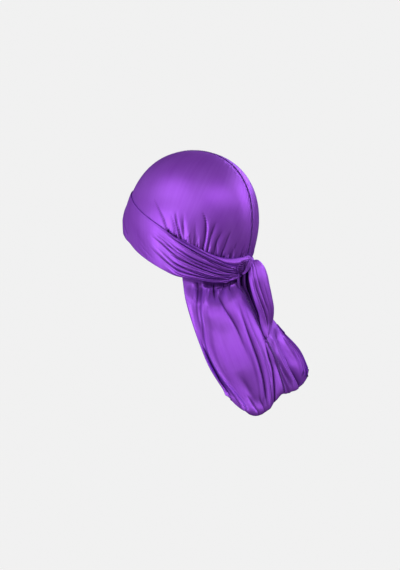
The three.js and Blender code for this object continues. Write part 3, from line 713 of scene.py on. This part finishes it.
def polyester_satin():
    """Charmeuse of bright polyester filament, woven with long floats. The floats lie flat and
    side by side, so the face gives back a broad, coloured, streaky sheen."""
    material, tree = new_finish("polyester_satin")
    cut = add(tree, "ShaderNodeUVMap", {"uv_map": "cut"}).outputs["UV"]
    hem = add(tree, "ShaderNodeAttribute", {"attribute_name": "hem"}).outputs["Fac"]
    # slubs in the filament: soft streaks 4 mm wide and 90 mm long
    streak_place = add(tree, "ShaderNodeVectorMath", {"operation": "MULTIPLY"},
                       {0: cut, 1: (1 / 0.004, 1 / 0.09, 0)}).outputs[0]
    streak = add(tree, "ShaderNodeTexNoise", {"noise_dimensions": "2D"}, {
        "Vector": streak_place, "Scale": 1.0, "Detail": 3.0, "Roughness": 0.55}).outputs["Fac"]
    # dye and handling: clouds 45 mm across
    cloud = add(tree, "ShaderNodeTexNoise", {"noise_dimensions": "2D"},
                {"Vector": cut, "Scale": 1 / 0.045, "Detail": 2.0}).outputs["Fac"]
    mottle = add(tree, "ShaderNodeMath", {"operation": "MULTIPLY_ADD"},
                 {0: streak, 1: 0.36, 2: add(tree, "ShaderNodeMath", {"operation": "MULTIPLY"},
                                            {0: cloud, 1: 0.64}).outputs[0]}).outputs[0]
    ramp = add(tree, "ShaderNodeValToRGB", inputs={"Fac": mottle})
    ramp.color_ramp.elements[0].position = 0.3
    ramp.color_ramp.elements[0].color = linear("#9149cc")
    ramp.color_ramp.elements[1].position = 0.7
    ramp.color_ramp.elements[1].color = linear("#9d56d8")
    hemmed = add(tree, "ShaderNodeMix", {"data_type": "RGBA"},
                 {"Factor": add(tree, "ShaderNodeMath", {"operation": "MULTIPLY"},
                                {0: hem, 1: 0.3}).outputs[0],
                  6: ramp.outputs["Color"], 7: linear("#5b2590")}).outputs[2]
    # painted shade: folds get a darker, deeper hue in the base colour, standing in for the
    # light that is soaked up where it bounces about in a fold
    painted_fold_shade = add(tree, "ShaderNodeAttribute", {"attribute_name": "painted_fold_shade"}).outputs["Fac"]
    fold_shaded_colour = add(tree, "ShaderNodeMix", {"data_type": "RGBA"},
                 {"Factor": add(tree, "ShaderNodeMath", {"operation": "POWER"},
                                {0: painted_fold_shade, 1: 0.75}).outputs[0],
                  6: hemmed, 7: linear("#2c0d45")}).outputs[2]
    gloss = add(tree, "ShaderNodeMapRange", inputs={
        "Value": mottle, "From Min": 0.3, "From Max": 0.7, "To Min": 0.4, "To Max": 0.44}).outputs[0]
    gloss = add(tree, "ShaderNodeMath", {"operation": "MULTIPLY_ADD"},
                {0: hem, 1: 0.15, 2: gloss}).outputs[0]
    # threads 0.11 mm apart, drawn eight times as coarse so that they show close by
    weave_place = add(tree, "ShaderNodeVectorMath", {"operation": "MULTIPLY"},
                      {0: cut, 1: (1 / 0.0009, 1 / 0.0045, 0)}).outputs[0]
    weave = add(tree, "ShaderNodeTexNoise", {"noise_dimensions": "2D"},
                {"Vector": weave_place, "Scale": 1.0, "Detail": 1.0}).outputs["Fac"]
    bump = add(tree, "ShaderNodeBump", inputs={
        "Strength": 0.25, "Distance": 0.00012, "Height": weave}).outputs["Normal"]
    tangent = add(tree, "ShaderNodeTangent", {"direction_type": "UV_MAP", "uv_map": "cut"}).outputs[0]
    shader = add(tree, "ShaderNodeBsdfPrincipled", inputs={
        "Base Color": fold_shaded_colour, "Roughness": gloss, "Normal": bump, "Tangent": tangent,
        "Metallic": 0.5, "IOR": 1.55, "Specular IOR Level": 0.3, "Specular Tint": linear("#b070ea"),
        "Anisotropic": 0.35,
        "Sheen Weight": 0.05, "Sheen Roughness": 0.4, "Sheen Tint": linear("#a868e6")})
    add(tree, "ShaderNodeOutputMaterial", inputs={"Surface": shader.outputs[0]})
    return material


def overlock_thread():
    """Spun polyester sewing thread, dyed darker than the cloth and twisted, so it is matt."""
    material, tree = new_finish("overlock_thread")
    place = add(tree, "ShaderNodeTexCoord").outputs["Object"]
    # strands of the twist 0.6 mm apart
    strands = add(tree, "ShaderNodeTexNoise", inputs={
        "Vector": place, "Scale": 1 / 0.0006, "Detail": 2.0}).outputs["Fac"]
    ramp = add(tree, "ShaderNodeValToRGB", inputs={"Fac": strands})
    ramp.color_ramp.elements[0].position = 0.3
    ramp.color_ramp.elements[0].color = linear("#4a1f70")
    ramp.color_ramp.elements[1].position = 0.75
    ramp.color_ramp.elements[1].color = linear("#8446b8")
    bump = add(tree, "ShaderNodeBump", inputs={
        "Strength": 0.4, "Distance": 0.0001, "Height": strands}).outputs["Normal"]
    shader = add(tree, "ShaderNodeBsdfPrincipled", inputs={
        "Base Color": ramp.outputs["Color"], "Normal": bump, "Roughness": 0.65, "IOR": 1.5,
        "Specular IOR Level": 0.2, "Sheen Weight": 0.05, "Sheen Tint": linear("#a070c8")})
    add(tree, "ShaderNodeOutputMaterial", inputs={"Surface": shader.outputs[0]})
    return material


def studio_paper():
    """Matt seamless paper, lit evenly so that it stays the same pale grey."""
    material, tree = new_finish("studio_paper")
    fibres = add(tree, "ShaderNodeTexNoise", inputs={
        "Vector": add(tree, "ShaderNodeTexCoord").outputs["Object"], "Scale": 40.0}).outputs["Fac"]
    ramp = add(tree, "ShaderNodeValToRGB", inputs={"Fac": fibres})
    ramp.color_ramp.elements[0].color = linear("#141414")
    ramp.color_ramp.elements[1].color = linear("#181818")
    shader = add(tree, "ShaderNodeBsdfPrincipled", inputs={
        "Base Color": ramp.outputs["Color"], "Roughness": 0.9,
        "Emission Color": linear("#f2f2f2"), "Emission Strength": 0.985})
    add(tree, "ShaderNodeOutputMaterial", inputs={"Surface": shader.outputs[0]})
    return material


satin = polyester_satin()
overlock = overlock_thread()


# Cap

CAP_RIM_CORNER = 8  # the mesh leaves the centre seam this far above the rim
DEEPEST_GATHER = 2.2
HIGHEST_GATHER = 2.0


def gather(a, b, c):
    """Path of a small gather up from the wrap's top edge."""
    turn = lerp(6, 88, a)
    foot = float(wrap_top(turn)) - 3
    length = lerp(9, 32, b ** 1.5)
    lean = lerp(-3, 4, c) * length / 20
    return [(turn, foot), (turn + lean * 0.4, foot + length / 2), (turn + lean, foot + length)]


def seam_pucker(along, from_seam, phases):
    """The cloth dips to the centre seam and puckers along it."""
    waves = sum(np.sin(along * pace + phase) for pace, phase in zip((0.83, 1.37, 2.11), phases))
    return 0.12 * waves * np.exp(-from_seam / 7) - 0.45 * np.exp(-(from_seam / 3.2) ** 2)


def cap_half(side, name, seed):
    rng = np.random.default_rng(seed)
    creases = CROWN_CREASES + small_creases(rng, gather, *CAP_GATHERS)
    if side < 0:
        creases = other_side(creases, rng, 0.7, 3, lambda t, z, shift: (t + shift, z))
    creases += small_creases(np.random.default_rng(seed + FINEST), gather, *FINE_CAP_GATHERS)
    creases = to_mm(creases, lambda t, z: (t * CAP_TURN_MM, z))

    u, v = grid(*CAP_GRID)
    turn = np.radians(read(CAP_COLUMNS, 1, u))
    front = direction_at(-math.pi / 2, rim_level(-math.pi / 2) + CAP_RIM_CORNER)
    back = direction_at(math.pi / 2, rim_level(math.pi / 2) + CAP_RIM_CORNER)
    angle = lerp(math.asin(front[2]), math.pi - math.asin(back[2]), turn / math.pi + 0.5)
    seam = np.stack([np.zeros_like(angle), -np.cos(angle), np.sin(angle)], -1)
    direction = between(seam, direction_at(turn, rim_level(turn)), v)
    place = crown_point(direction)
    degrees = np.degrees(np.arctan2(place[..., 1], place[..., 0]))
    height = crease_height(degrees * CAP_TURN_MM, place[..., 2], creases)
    # under the wraps the cap is almost flat
    covered = smoothstep(wrap_top(degrees) - place[..., 2], 0, 6)
    height = np.minimum(height * (1 - 0.8 * covered), lerp(HIGHEST_GATHER, 0.1, covered))
    # where gathers cross, they don't add up to a hole
    height = np.where(height < 0, DEEPEST_GATHER * np.tanh(height / DEEPEST_GATHER), height)
    height += seam_pucker(np.degrees(angle), np.abs(place[..., 0]), rng.uniform(0, 6, 3))
    points = over_crown(direction, height)
    points[..., 0] = side * (points[..., 0] + SEAM_GAP / 2)
    return piece(name, [cloth(points, SATIN, (False, False, False, True))], satin)


# Overlocked seams

WELT_HEIGHT = 0.9
WELT_WALL = 0.6
STITCH_SPACING = 2.4
STITCH_RADIUS = 0.3
EDGE_THREAD_RADIUS = 0.28
CROWN_WELT = (262, 0.85, -0.3)  # length, half width and level of its base over the cloth
TAIL_WELT = (150, 1.2, 0.1)


def overlocked(name, over, length, half_width, base):
    """Welt with its stitches. over(share along, sideways in mm, height in mm) gives points."""
    u, v = grid(int(length / 2), 8)
    t = 2 * v - 1
    shells = [cloth(over(u, t * half_width, base + WELT_HEIGHT * np.sqrt(1 - (0.96 * t) ** 2)),
                    WELT_WALL)]
    # a slanting stitch over the welt every few threads
    rng = np.random.default_rng(len(name))
    count = int(length / STITCH_SPACING)
    s = np.linspace(-1, 1, 7)
    for k in range(count):
        at = (k + 0.5 + 0.12 * rng.standard_normal()) / count
        path = over(at + 0.5 / length * s, 1.12 * half_width * s,
                    base + 0.25 + 0.95 * np.sqrt(1 - (0.97 * s) ** 2))
        shells.append(thread(path, STITCH_RADIUS))
    # a looping thread along each side, which catches every stitch
    t = np.linspace(0.002, 0.998, int(length / 0.8))
    wave = np.sin(t * count * 2 * math.pi)
    for edge in (-1, 1):
        sideways = edge * (1.15 * half_width + 0.12 * wave)
        shells.append(thread(over(t, sideways, base + 0.2 + 0.08 * wave), EDGE_THREAD_RADIUS))
    return piece(name, shells, overlock)


def crown_seam_point(share, sideways, height):
    """The seam ends where the wraps cover it at the front and the nape band at the back."""
    clear = 2.4
    front = direction_at(-math.pi / 2, WRAP_DROP * read(WRAP_EDGES, 2, -90) + clear)
    back = direction_at(math.pi / 2, WRAP_DROP * read(NAPE_EDGES, 1, 90) + clear)
    angle = lerp(math.asin(front[2]), math.pi - math.asin(back[2]), share)
    x = sideways / (CROWN_WIDTH / 2)
    direction = unit(np.stack(np.broadcast_arrays(x, -np.cos(angle), np.sin(angle)), -1))
    return over_crown(direction, height)


# Wraps and nape band

WRAP_END = 86  # turn at which the knot hides the end of a wrap
HIGHEST_PLEAT = 3.9
SPLIT_PLEATS = (0, 1, 3, 5)  # main pleats, from the low edge, that hold two rolls
DRAWN_UP = 0.055
UNDER_WRAPS = 2.3  # what lies under a wrap over the nape band


def pleats(degrees, share, span, rng):
    """Rolls of cloth that start at the temple and close up toward the knot."""
    lines = [0 * share] + [read(PLEAT_LINES, k, degrees) for k in range(1, 6)] + [0 * share + 1]
    edges = []
    for k, (low, high) in enumerate(zip(lines[:-1], lines[1:])):
        edges.append(low)
        if k in SPLIT_PLEATS:
            middle = rng.uniform(0.35, 0.65) + 0.1 * np.sin(np.radians(degrees * 3) + rng.uniform(0, 6))
            edges.append(lerp(low, high, middle))
    edges.append(lines[-1])
    height = np.zeros(share.shape)
    for low, high in zip(edges[:-1], edges[1:]):
        start = rng.uniform(-20, 4)
        grown = smoothstep(degrees, start, start + rng.uniform(22, 36))
        place = np.clip((share - low) / (high - low), 0, 1)
        size = np.minimum(HIGHEST_PLEAT, 0.86 * (high - low) * span) * rng.uniform(0.65, 1.15)
        roll = np.sin(math.pi * place ** rng.uniform(0.65, 1.35)) ** 0.8
        swell = 0.76 + 0.24 * np.sin(np.radians(degrees) * rng.uniform(4, 8) + rng.uniform(0, 6))
        height = np.where((share >= low) & (share <= high), size * grown * swell * roll, height)
    return height


def streak(a, b, c):
    """Path of a fine crease along a wrap, drawn in toward the middle of the knot."""
    first = lerp(-12, 52, a)
    last = lerp(first + 20, WRAP_END, 0.4 + 0.6 * b)
    w = lerp(0.03, 0.97, c)
    near = lerp(w, 0.5, 0.35)
    shares = (0, 0.33, 0.66, 1)
    return [(t, lerp(w, near, s ** 2)) for s, t in zip(shares, np.linspace(first, last, 4))]


def wrap_crease_point(t, w):
    """A place on a wrap in mm, from its turn and its share from the low to the high edge."""
    low, high = read(WRAP_EDGES, 1, t), read(WRAP_EDGES, 2, t)
    return (t * WRAP_TURN_MM, float(WRAP_DROP * lerp(low, high, w)))


def wrap(side, name, seed):
    rng = np.random.default_rng(seed)
    slow = {"lean": 0.3, "start": 0.4, "end": 0.3}
    creases = WRAP_CREASES + small_creases(rng, streak, *WRAP_STREAKS, **slow)
    if side < 0:
        creases = other_side(creases, rng, 0.75, 0.035,
                             lambda t, w, shift: (t, min(1, max(0, w + shift))))
    creases += small_creases(np.random.default_rng(seed + FINEST), streak, *FINE_WRAP_STREAKS, **slow)
    creases = to_mm(creases, wrap_crease_point)

    u, v = grid(*WRAP_GRID)
    degrees = lerp(WRAP_EDGES[0][0], float(WRAP_END), u)
    # drawn up by the pleats, so the gathered top of the flap shows below
    low = read(WRAP_EDGES, 1, degrees) + DRAWN_UP * smoothstep(degrees, 2, 34)
    high = read(WRAP_EDGES, 2, degrees)
    level = WRAP_DROP * lerp(low, high, v)
    span = WRAP_DROP * (high - low)
    detail = crease_height(degrees * WRAP_TURN_MM, level, creases)
    detail += pleats(degrees, v, span, rng)
    # over the nape band at the back, and over the other wrap at the forehead
    under = UNDER_WRAPS * smoothstep(degrees, -4, 14)
    if side > 0:
        mirrored = np.maximum(-180 - degrees, WRAP_EDGES[0][0])
        other_top = WRAP_DROP * read(WRAP_EDGES, 2, mirrored)
        over_other = smoothstep(other_top - level, -5, 1) * (1 - smoothstep(degrees, -48, -40))
        under = np.maximum(under, (SATIN + BETWEEN) * over_other)
    # both edges are rolled where the pleats draw them in
    drawn = smoothstep(degrees, -6, 26)
    from_top, from_low = (1 - v) * span, v * span
    roll_top = 1.3 * np.exp(-(from_top / 4.5) ** 2) - np.exp(-(from_top / 1.1) ** 2)
    roll_low = 0.8 * np.exp(-(from_low / 5) ** 2) - 0.9 * np.exp(-(from_low / 1.3) ** 2)
    height = (SATIN + BETWEEN) + under + drawn * (0.5 + roll_top + 0.6 * roll_low) + detail
    # no valley reaches what lies under the wrap
    lowest = lerp(SATIN + 0.35, SATIN + 1.7, smoothstep(degrees, -4, 14))
    height = lowest + np.logaddexp(0, (height - lowest) * 2.2) / 2.2
    points = over_crown(direction_at(np.radians(degrees), level), height)
    points[..., 0] *= side
    return piece(name, [cloth(points, SATIN, (True, False, True, True))], satin)


def nape_crease_point(t, w):
    """A place on the nape band in mm, from its turn and its share from low to high."""
    near = min(t, 180 - t)
    low, high = read(NAPE_EDGES, 2, near), read(NAPE_EDGES, 1, near)
    return (t * NAPE_TURN_MM, float(WRAP_DROP * lerp(low, high, w)))


def nape_turn():
    """One round roll above the wraps, creased along its length, and flat under them."""
    rng = np.random.default_rng(NAPE_SEED)
    creases = []
    for _ in range(NAPE_STREAKS):
        w = rng.uniform(0.45, 0.95)
        first = rng.uniform(25, 120)
        creases.append((rng.uniform(-0.7, -0.3), rng.uniform(0.8, 1.4), 0.3, 0.3, 0.3, [
            (first + ahead, w + rng.uniform(-0.05, 0.05)) for ahead in (0, 14, 30, 42)]))

    u, v = grid(*NAPE_GRID)
    degrees = lerp(NAPE_EDGES[0][0], 180 - NAPE_EDGES[0][0], u)
    near = np.minimum(degrees, 180 - degrees)
    top, bottom = read(NAPE_EDGES, 1, near), read(NAPE_EDGES, 2, near)
    level = WRAP_DROP * lerp(bottom, top, v)
    detail = crease_height(degrees * NAPE_TURN_MM, level, to_mm(creases, nape_crease_point))
    from_top = (1 - v) * WRAP_DROP * (top - bottom)
    visible = WRAP_DROP * (top - read(WRAP_EDGES, 2, near))
    roll = 5.4 * np.sin(0.78 * math.pi * np.clip(from_top / np.maximum(visible, 4), 0, 1)) ** 0.9
    showing = smoothstep(near, 26, 60)
    height = 1.45 + showing * (roll + np.clip(detail, -0.8, 0.5))
    under_wrap = smoothstep(WRAP_DROP * read(WRAP_EDGES, 2, near) - level, 0, 3.5)
    height = lerp(height, np.minimum(height, 1.5), under_wrap)
    points = over_crown(direction_at(np.radians(degrees), level), height)
    return piece("nape_turn", [cloth(points, SATIN)], satin)


# Knot

BUNDLE_SEAT = KNOT_SEAT - 1.4
TURN_SEAT = KNOT_SEAT - 0.6
TURN_WALL = 1.4
# painted shade added to the knot's pleated bundle and to the turn over it, as if they lay deep among
# folds
BUNDLE_PAINTED_SHADE = 0.6
TURN_PAINTED_SHADE = 0.15


def knot_place(across, upward, height):
    """Points on the knot from shares of its half width and half height."""
    step = 0.1
    girth = float(np.linalg.norm(crown_point(direction_at(KNOT_TURN - step, KNOT_LEVEL))
                                 - crown_point(direction_at(KNOT_TURN, KNOT_LEVEL)))) / step
    turn = KNOT_TURN - across * 0.72 * KNOT_WIDTH / 2 / girth
    return over_crown(direction_at(turn, KNOT_LEVEL + upward * 0.8 * KNOT_HEIGHT / 2), height)


def pleated_bundle():
    """Pleats that fan out of the pinched middle of the knot to both sides."""
    u, v = grid(*BUNDLE_GRID)
    x, y = 2 * u - 1, 2 * v - 1
    across, upward = x * np.sqrt(1 - y ** 2 / 2), y * np.sqrt(1 - x ** 2 / 2)
    dome = np.sqrt(np.maximum(0, 1 - 0.998 * np.hypot(across, upward) ** 2))
    fan = upward / (0.4 + 0.6 * np.abs(across)) + 0.18 * across
    pleat = np.abs(np.sin(math.pi * 2.6 * fan + 0.6)) ** 0.6 - 0.6
    waist = 1 - 0.22 * np.exp(-(across / 0.35) ** 2)
    height = (BUNDLE_SEAT + 0.36 * KNOT_DEPTH * dome * waist
              + 2.4 * pleat * dome ** 0.6 * np.abs(across) ** 0.4)
    return solid_between(knot_place(across, upward, height),
                         knot_place(across, upward, np.full(u.shape, BUNDLE_SEAT)))


def turn_over_bundle():
    """The turn of cloth over the bundle, creased along its length."""
    u, v = grid(*KNOT_TURN_GRID)
    t = 2 * u - 1
    along = lerp(-0.8, 1.1, v)
    arch = np.sqrt(np.maximum(0, 1 - (1.8 * (v - 0.5)) ** 2))
    width = lerp(0.2, 0.36, v)
    wobble = 0.05 * np.sin(3.1 * along + 0.5)
    folds = np.abs(np.sin(math.pi * (2.1 * t + 0.35 * along) + 0.9)) ** 0.6 - 0.5
    height = (TURN_SEAT + 0.5 * KNOT_DEPTH * arch * (1 - 0.35 * t ** 2 - 0.25 * t ** 6)
              + 1.8 * folds * (1 - 0.6 * t ** 2))
    points = knot_place(width * t - 0.5 - 0.4 * along + wobble, along, height)
    return cloth(points, TURN_WALL, (False,) * 4)


def tied_knot():
    return piece("tied_knot", [with_painted_shade(pleated_bundle(), BUNDLE_PAINTED_SHADE),
                               with_painted_shade(turn_over_bundle(), TURN_PAINTED_SHADE)], satin)


# Strap ends

STRAP_EDGE = 6  # how much of each edge curls
STRAP_TIP = 14  # narrower than this, a strap end is flat


def strap_points(edges, u, v):
    """Points of a strap end without its folds, between its two edges and bowed out."""
    left, right = [np.stack([read(edges, k + first, v) for k in range(3)], -1) for first in (1, 4)]
    points = lerp(left, right, u[..., None])
    down = unit(np.gradient(points, axis=1))
    out = np.cross(down, unit(left - right))
    out *= np.sign(out[..., 1:2])
    return points + out * (read(edges, 7, v) * 4 * u * (1 - u))[..., None]


def knot_gather(a, b, c):
    """Path of a small gather where a strap end leaves the knot."""
    place = lerp(0.1, 0.9, a)
    return [(place, 0), (place + 0.06 * (c - 0.5), 0.08 + 0.12 * b)]


def strap_end(name, edges, creases, mesh_grid, curl, painted_shade, seed):
    """Strap end whose edges curl toward the tail, with painted shade added for how deep it lies among
    folds.
    """
    u, v = grid(*mesh_grid)
    points = strap_points(edges, u, v)
    width = np.linalg.norm(np.diff(points, axis=0), axis=-1).sum(0)
    mean_width = width.mean()
    length = np.linalg.norm(np.diff(points, axis=1), axis=-1).sum(1).mean()
    creases = creases + small_creases(np.random.default_rng(seed), knot_gather, *STRAP_GATHERS)
    detail = crease_height(u * mean_width, v * length, to_mm(
        creases, lambda across, down: (across * mean_width, down * length)))
    normal = grid_normal(points)
    normal *= np.sign(np.sum(normal[..., :2] * points[..., :2]))
    from_edge = np.minimum(u, 1 - u) * width[None]
    taper = np.minimum(1, width / STRAP_TIP)[None]
    height = taper * (detail - curl * np.maximum(0, 1 - from_edge / STRAP_EDGE) ** 2)
    points = points + normal * height[..., None]
    return piece(name, [with_painted_shade(cloth(points, SATIN), painted_shade)], satin)


# Tail

HEM_ROLL = 3.0
HEM_ROLL_REACH = 4
SEAM_DROP = 171  # length of the tail near its centre seam


def waist_gather(a, b, c):
    """Path of a small gather where the tail comes out from under the wraps."""
    place = lerp(-0.97, 0.97, a)
    return [(place, 0.02), (place + 0.02 * (c - 0.5), 0.06 + 0.02 * b),
            (place + 0.04 * (c - 0.5), 0.1 + 0.06 * b)]


tail_creases = to_mm(
    TAIL_CREASES + small_creases(np.random.default_rng(TAIL_SEED), waist_gather, *TAIL_GATHERS),
    lambda across, drop: (across * ACROSS_MM, drop * TAIL_LENGTH))


def tail_height(across, drop):
    """Folds of the tail, and how far it stands off where it comes out from under the wraps."""
    folds = crease_height(across * ACROSS_MM, drop * TAIL_LENGTH, tail_creases)
    settled = (0.9 - 0.4 * smoothstep(across, 0, 0.35)) * smoothstep(drop, 0.1, 0.9)
    lift = (6.0 - 4.0 * across ** 2) * smoothstep(drop, 0.03, 0.1) * (1 - settled)
    middle = np.exp(-((across + 0.05) / 0.2) ** 2)
    lift += 3.0 * middle * smoothstep(drop, 0.1, 0.2) * (1 - smoothstep(drop, 0.3, 0.45))
    return lift + folds * smoothstep(drop, 0.03, 0.11)


def tail_half(side, name):
    u, v = grid(*TAIL_GRID)
    across = side * u
    height = tail_height(across, v)
    # the left side rolls in a little, and so does the hem
    from_side = (1 - u) * ACROSS_MM
    from_hem = (1 - v) * TAIL_LENGTH * read(TAIL_HEM, 1, across)
    height -= smoothstep(v, 0.1, 0.3) * (0.9 + 0.9 * side) * np.exp(-from_side / 3)
    height -= HEM_ROLL * np.exp(-from_hem / HEM_ROLL_REACH)
    points = over_tail(across, v, height)
    points[..., 0] += side * SEAM_GAP / 2
    return piece(name, [cloth(points, SATIN, (False, True, False, True))], satin)


def tail_seam_point(share, sideways, height):
    """The seam follows the folds of the tail and rolls in with its hem."""
    drop = lerp(0.14, 0.985, share)
    across = sideways / ACROSS_MM
    hem_roll = HEM_ROLL * np.exp(-(1 - drop) * SEAM_DROP / HEM_ROLL_REACH)
    return over_tail(across, drop, tail_height(across, drop) - hem_roll + height)


# The durag

cap_left = cap_half(1, "crown_half_left", CAP_SEEDS[0])
cap_right = cap_half(-1, "crown_half_right", CAP_SEEDS[1])
crown_seam = overlocked("crown_overlock", crown_seam_point, *CROWN_WELT)
wrap_left = wrap(1, "wrap_left_pleated", WRAP_SEEDS[0])
wrap_right = wrap(-1, "wrap_right_pleated", WRAP_SEEDS[1])
nape = nape_turn()
knot = tied_knot()
# the left strap end gets painted shade, standing in for the shadow that the right one casts over it
strap_left = strap_end("strap_end_left_hanging", LEFT_STRAP, LEFT_STRAP_CREASES,
                       LEFT_STRAP_GRID, curl=1.0, painted_shade=0.5, seed=STRAP_SEEDS[0])
strap_right = strap_end("strap_end_right_hanging", RIGHT_STRAP, RIGHT_STRAP_CREASES,
                        RIGHT_STRAP_GRID, curl=3.4, painted_shade=0, seed=STRAP_SEEDS[1])
flap_left = tail_half(1, "flap_left")
flap_right = tail_half(-1, "flap_right")
flap_seam = overlocked("flap_overlock", tail_seam_point, *TAIL_WELT)


# Studio

# The view is level, from behind the wearer's left side
VIEW_TURN = 33
VIEW_RISE = 1
VIEW_DISTANCE = 5.0
VIEW_HEIGHT = 0.802  # metres that the picture shows from top to bottom
SENSOR_MM = 36
AIM_RIGHT = 0.0118
AIM_LEVEL = -0.1878
LIGHT_DISTANCE = 1.5
FLOOR_LEVEL = -2.5
FLOOR_RADIUS = 7.0
FLOOR_CURVE = 2.0
WALL_TOP = 9.0
FLOOR_SIDES = 64


def toward(turn, rise):
    """Direction at a turn and a rise in degrees."""
    turn, rise = math.radians(turn), math.radians(rise)
    return Vector((math.cos(turn) * math.cos(rise), math.sin(turn) * math.cos(rise), math.sin(rise)))


right = Vector((-math.sin(math.radians(VIEW_TURN)), math.cos(math.radians(VIEW_TURN)), 0))
aim = right * AIM_RIGHT + Vector((0, 0, AIM_LEVEL))


def stand_off(obj, direction, distance):
    """Puts a lamp or the camera in a direction from the aim and turns it to the aim."""
    bpy.context.scene.collection.objects.link(obj)
    obj.location = aim + direction * distance
    obj.rotation_euler = (-direction).to_track_quat("-Z", "Y").to_euler()


def paper_sweep():
    """Paper floor that curves up into a wall all round, beyond every light and camera."""
    curve = [(FLOOR_RADIUS + FLOOR_CURVE * math.sin(a), FLOOR_CURVE - FLOOR_CURVE * math.cos(a))
             for a in np.linspace(0.1, math.pi / 2, 12)]
    profile = [(0.0, 0.0), (FLOOR_RADIUS, 0.0), *curve, (FLOOR_RADIUS + FLOOR_CURVE, WALL_TOP)]
    points, faces = [], []
    for k, (away, up) in enumerate(profile):
        for n in range(FLOOR_SIDES):
            a = 2 * math.pi * n / FLOOR_SIDES
            points.append((math.cos(a) * away, math.sin(a) * away, FLOOR_LEVEL + up))
            if k:
                m = (n + 1) % FLOOR_SIDES
                faces.append(((k - 1) * FLOOR_SIDES + n, (k - 1) * FLOOR_SIDES + m,
                              k * FLOOR_SIDES + m, k * FLOOR_SIDES + n))
    mesh = bpy.data.meshes.new("paper_sweep")
    mesh.from_pydata(points, [], faces)
    mesh.shade_smooth()
    mesh.materials.append(studio_paper())
    sweep = bpy.data.objects.new("paper_sweep", mesh)
    bpy.context.scene.collection.objects.link(sweep)
    # the paper neither lights the satin nor shows in its sheen
    sweep.visible_diffuse = False
    sweep.visible_glossy = False


def softbox(name, turn, rise, size, power):
    """Area light at an angle from the camera's side, aimed at the durag."""
    lamp = bpy.data.lights.new(name, "AREA")
    lamp.shape = "RECTANGLE"
    lamp.size, lamp.size_y = size
    lamp.energy = power
    stand_off(bpy.data.objects.new(name, lamp), toward(VIEW_TURN + turn, rise), LIGHT_DISTANCE)


camera_data = bpy.data.cameras.new("camera")
camera_data.sensor_fit = "VERTICAL"
camera_data.sensor_height = SENSOR_MM
camera_data.lens = SENSOR_MM * VIEW_DISTANCE / VIEW_HEIGHT
camera = bpy.data.objects.new("camera", camera_data)
stand_off(camera, toward(VIEW_TURN, VIEW_RISE), VIEW_DISTANCE)
bpy.context.scene.camera = camera

paper_sweep()
softbox("left_softbox", -58, -12, (0.9, 1.3), 15.6)
softbox("high_left_softbox", -58, 38, (1.0, 0.7), 5.0)
softbox("near_softbox", -24, 20, (1.0, 0.6), 2.6)
softbox("front_softbox", 26, 34, (1.5, 0.5), 7.1)
softbox("right_softbox", 90, 28, (1.0, 0.85), 8.6)
softbox("far_softbox", 140, 30, (0.9, 0.6), 7.0)

world = bpy.data.worlds.new("studio_air")
world.use_nodes = True
world.node_tree.nodes["Background"].inputs["Color"].default_value = linear("#f2ece8")
world.node_tree.nodes["Background"].inputs["Strength"].default_value = 0.16
bpy.context.scene.world = world
bpy.context.scene.view_settings.view_transform = "Standard"
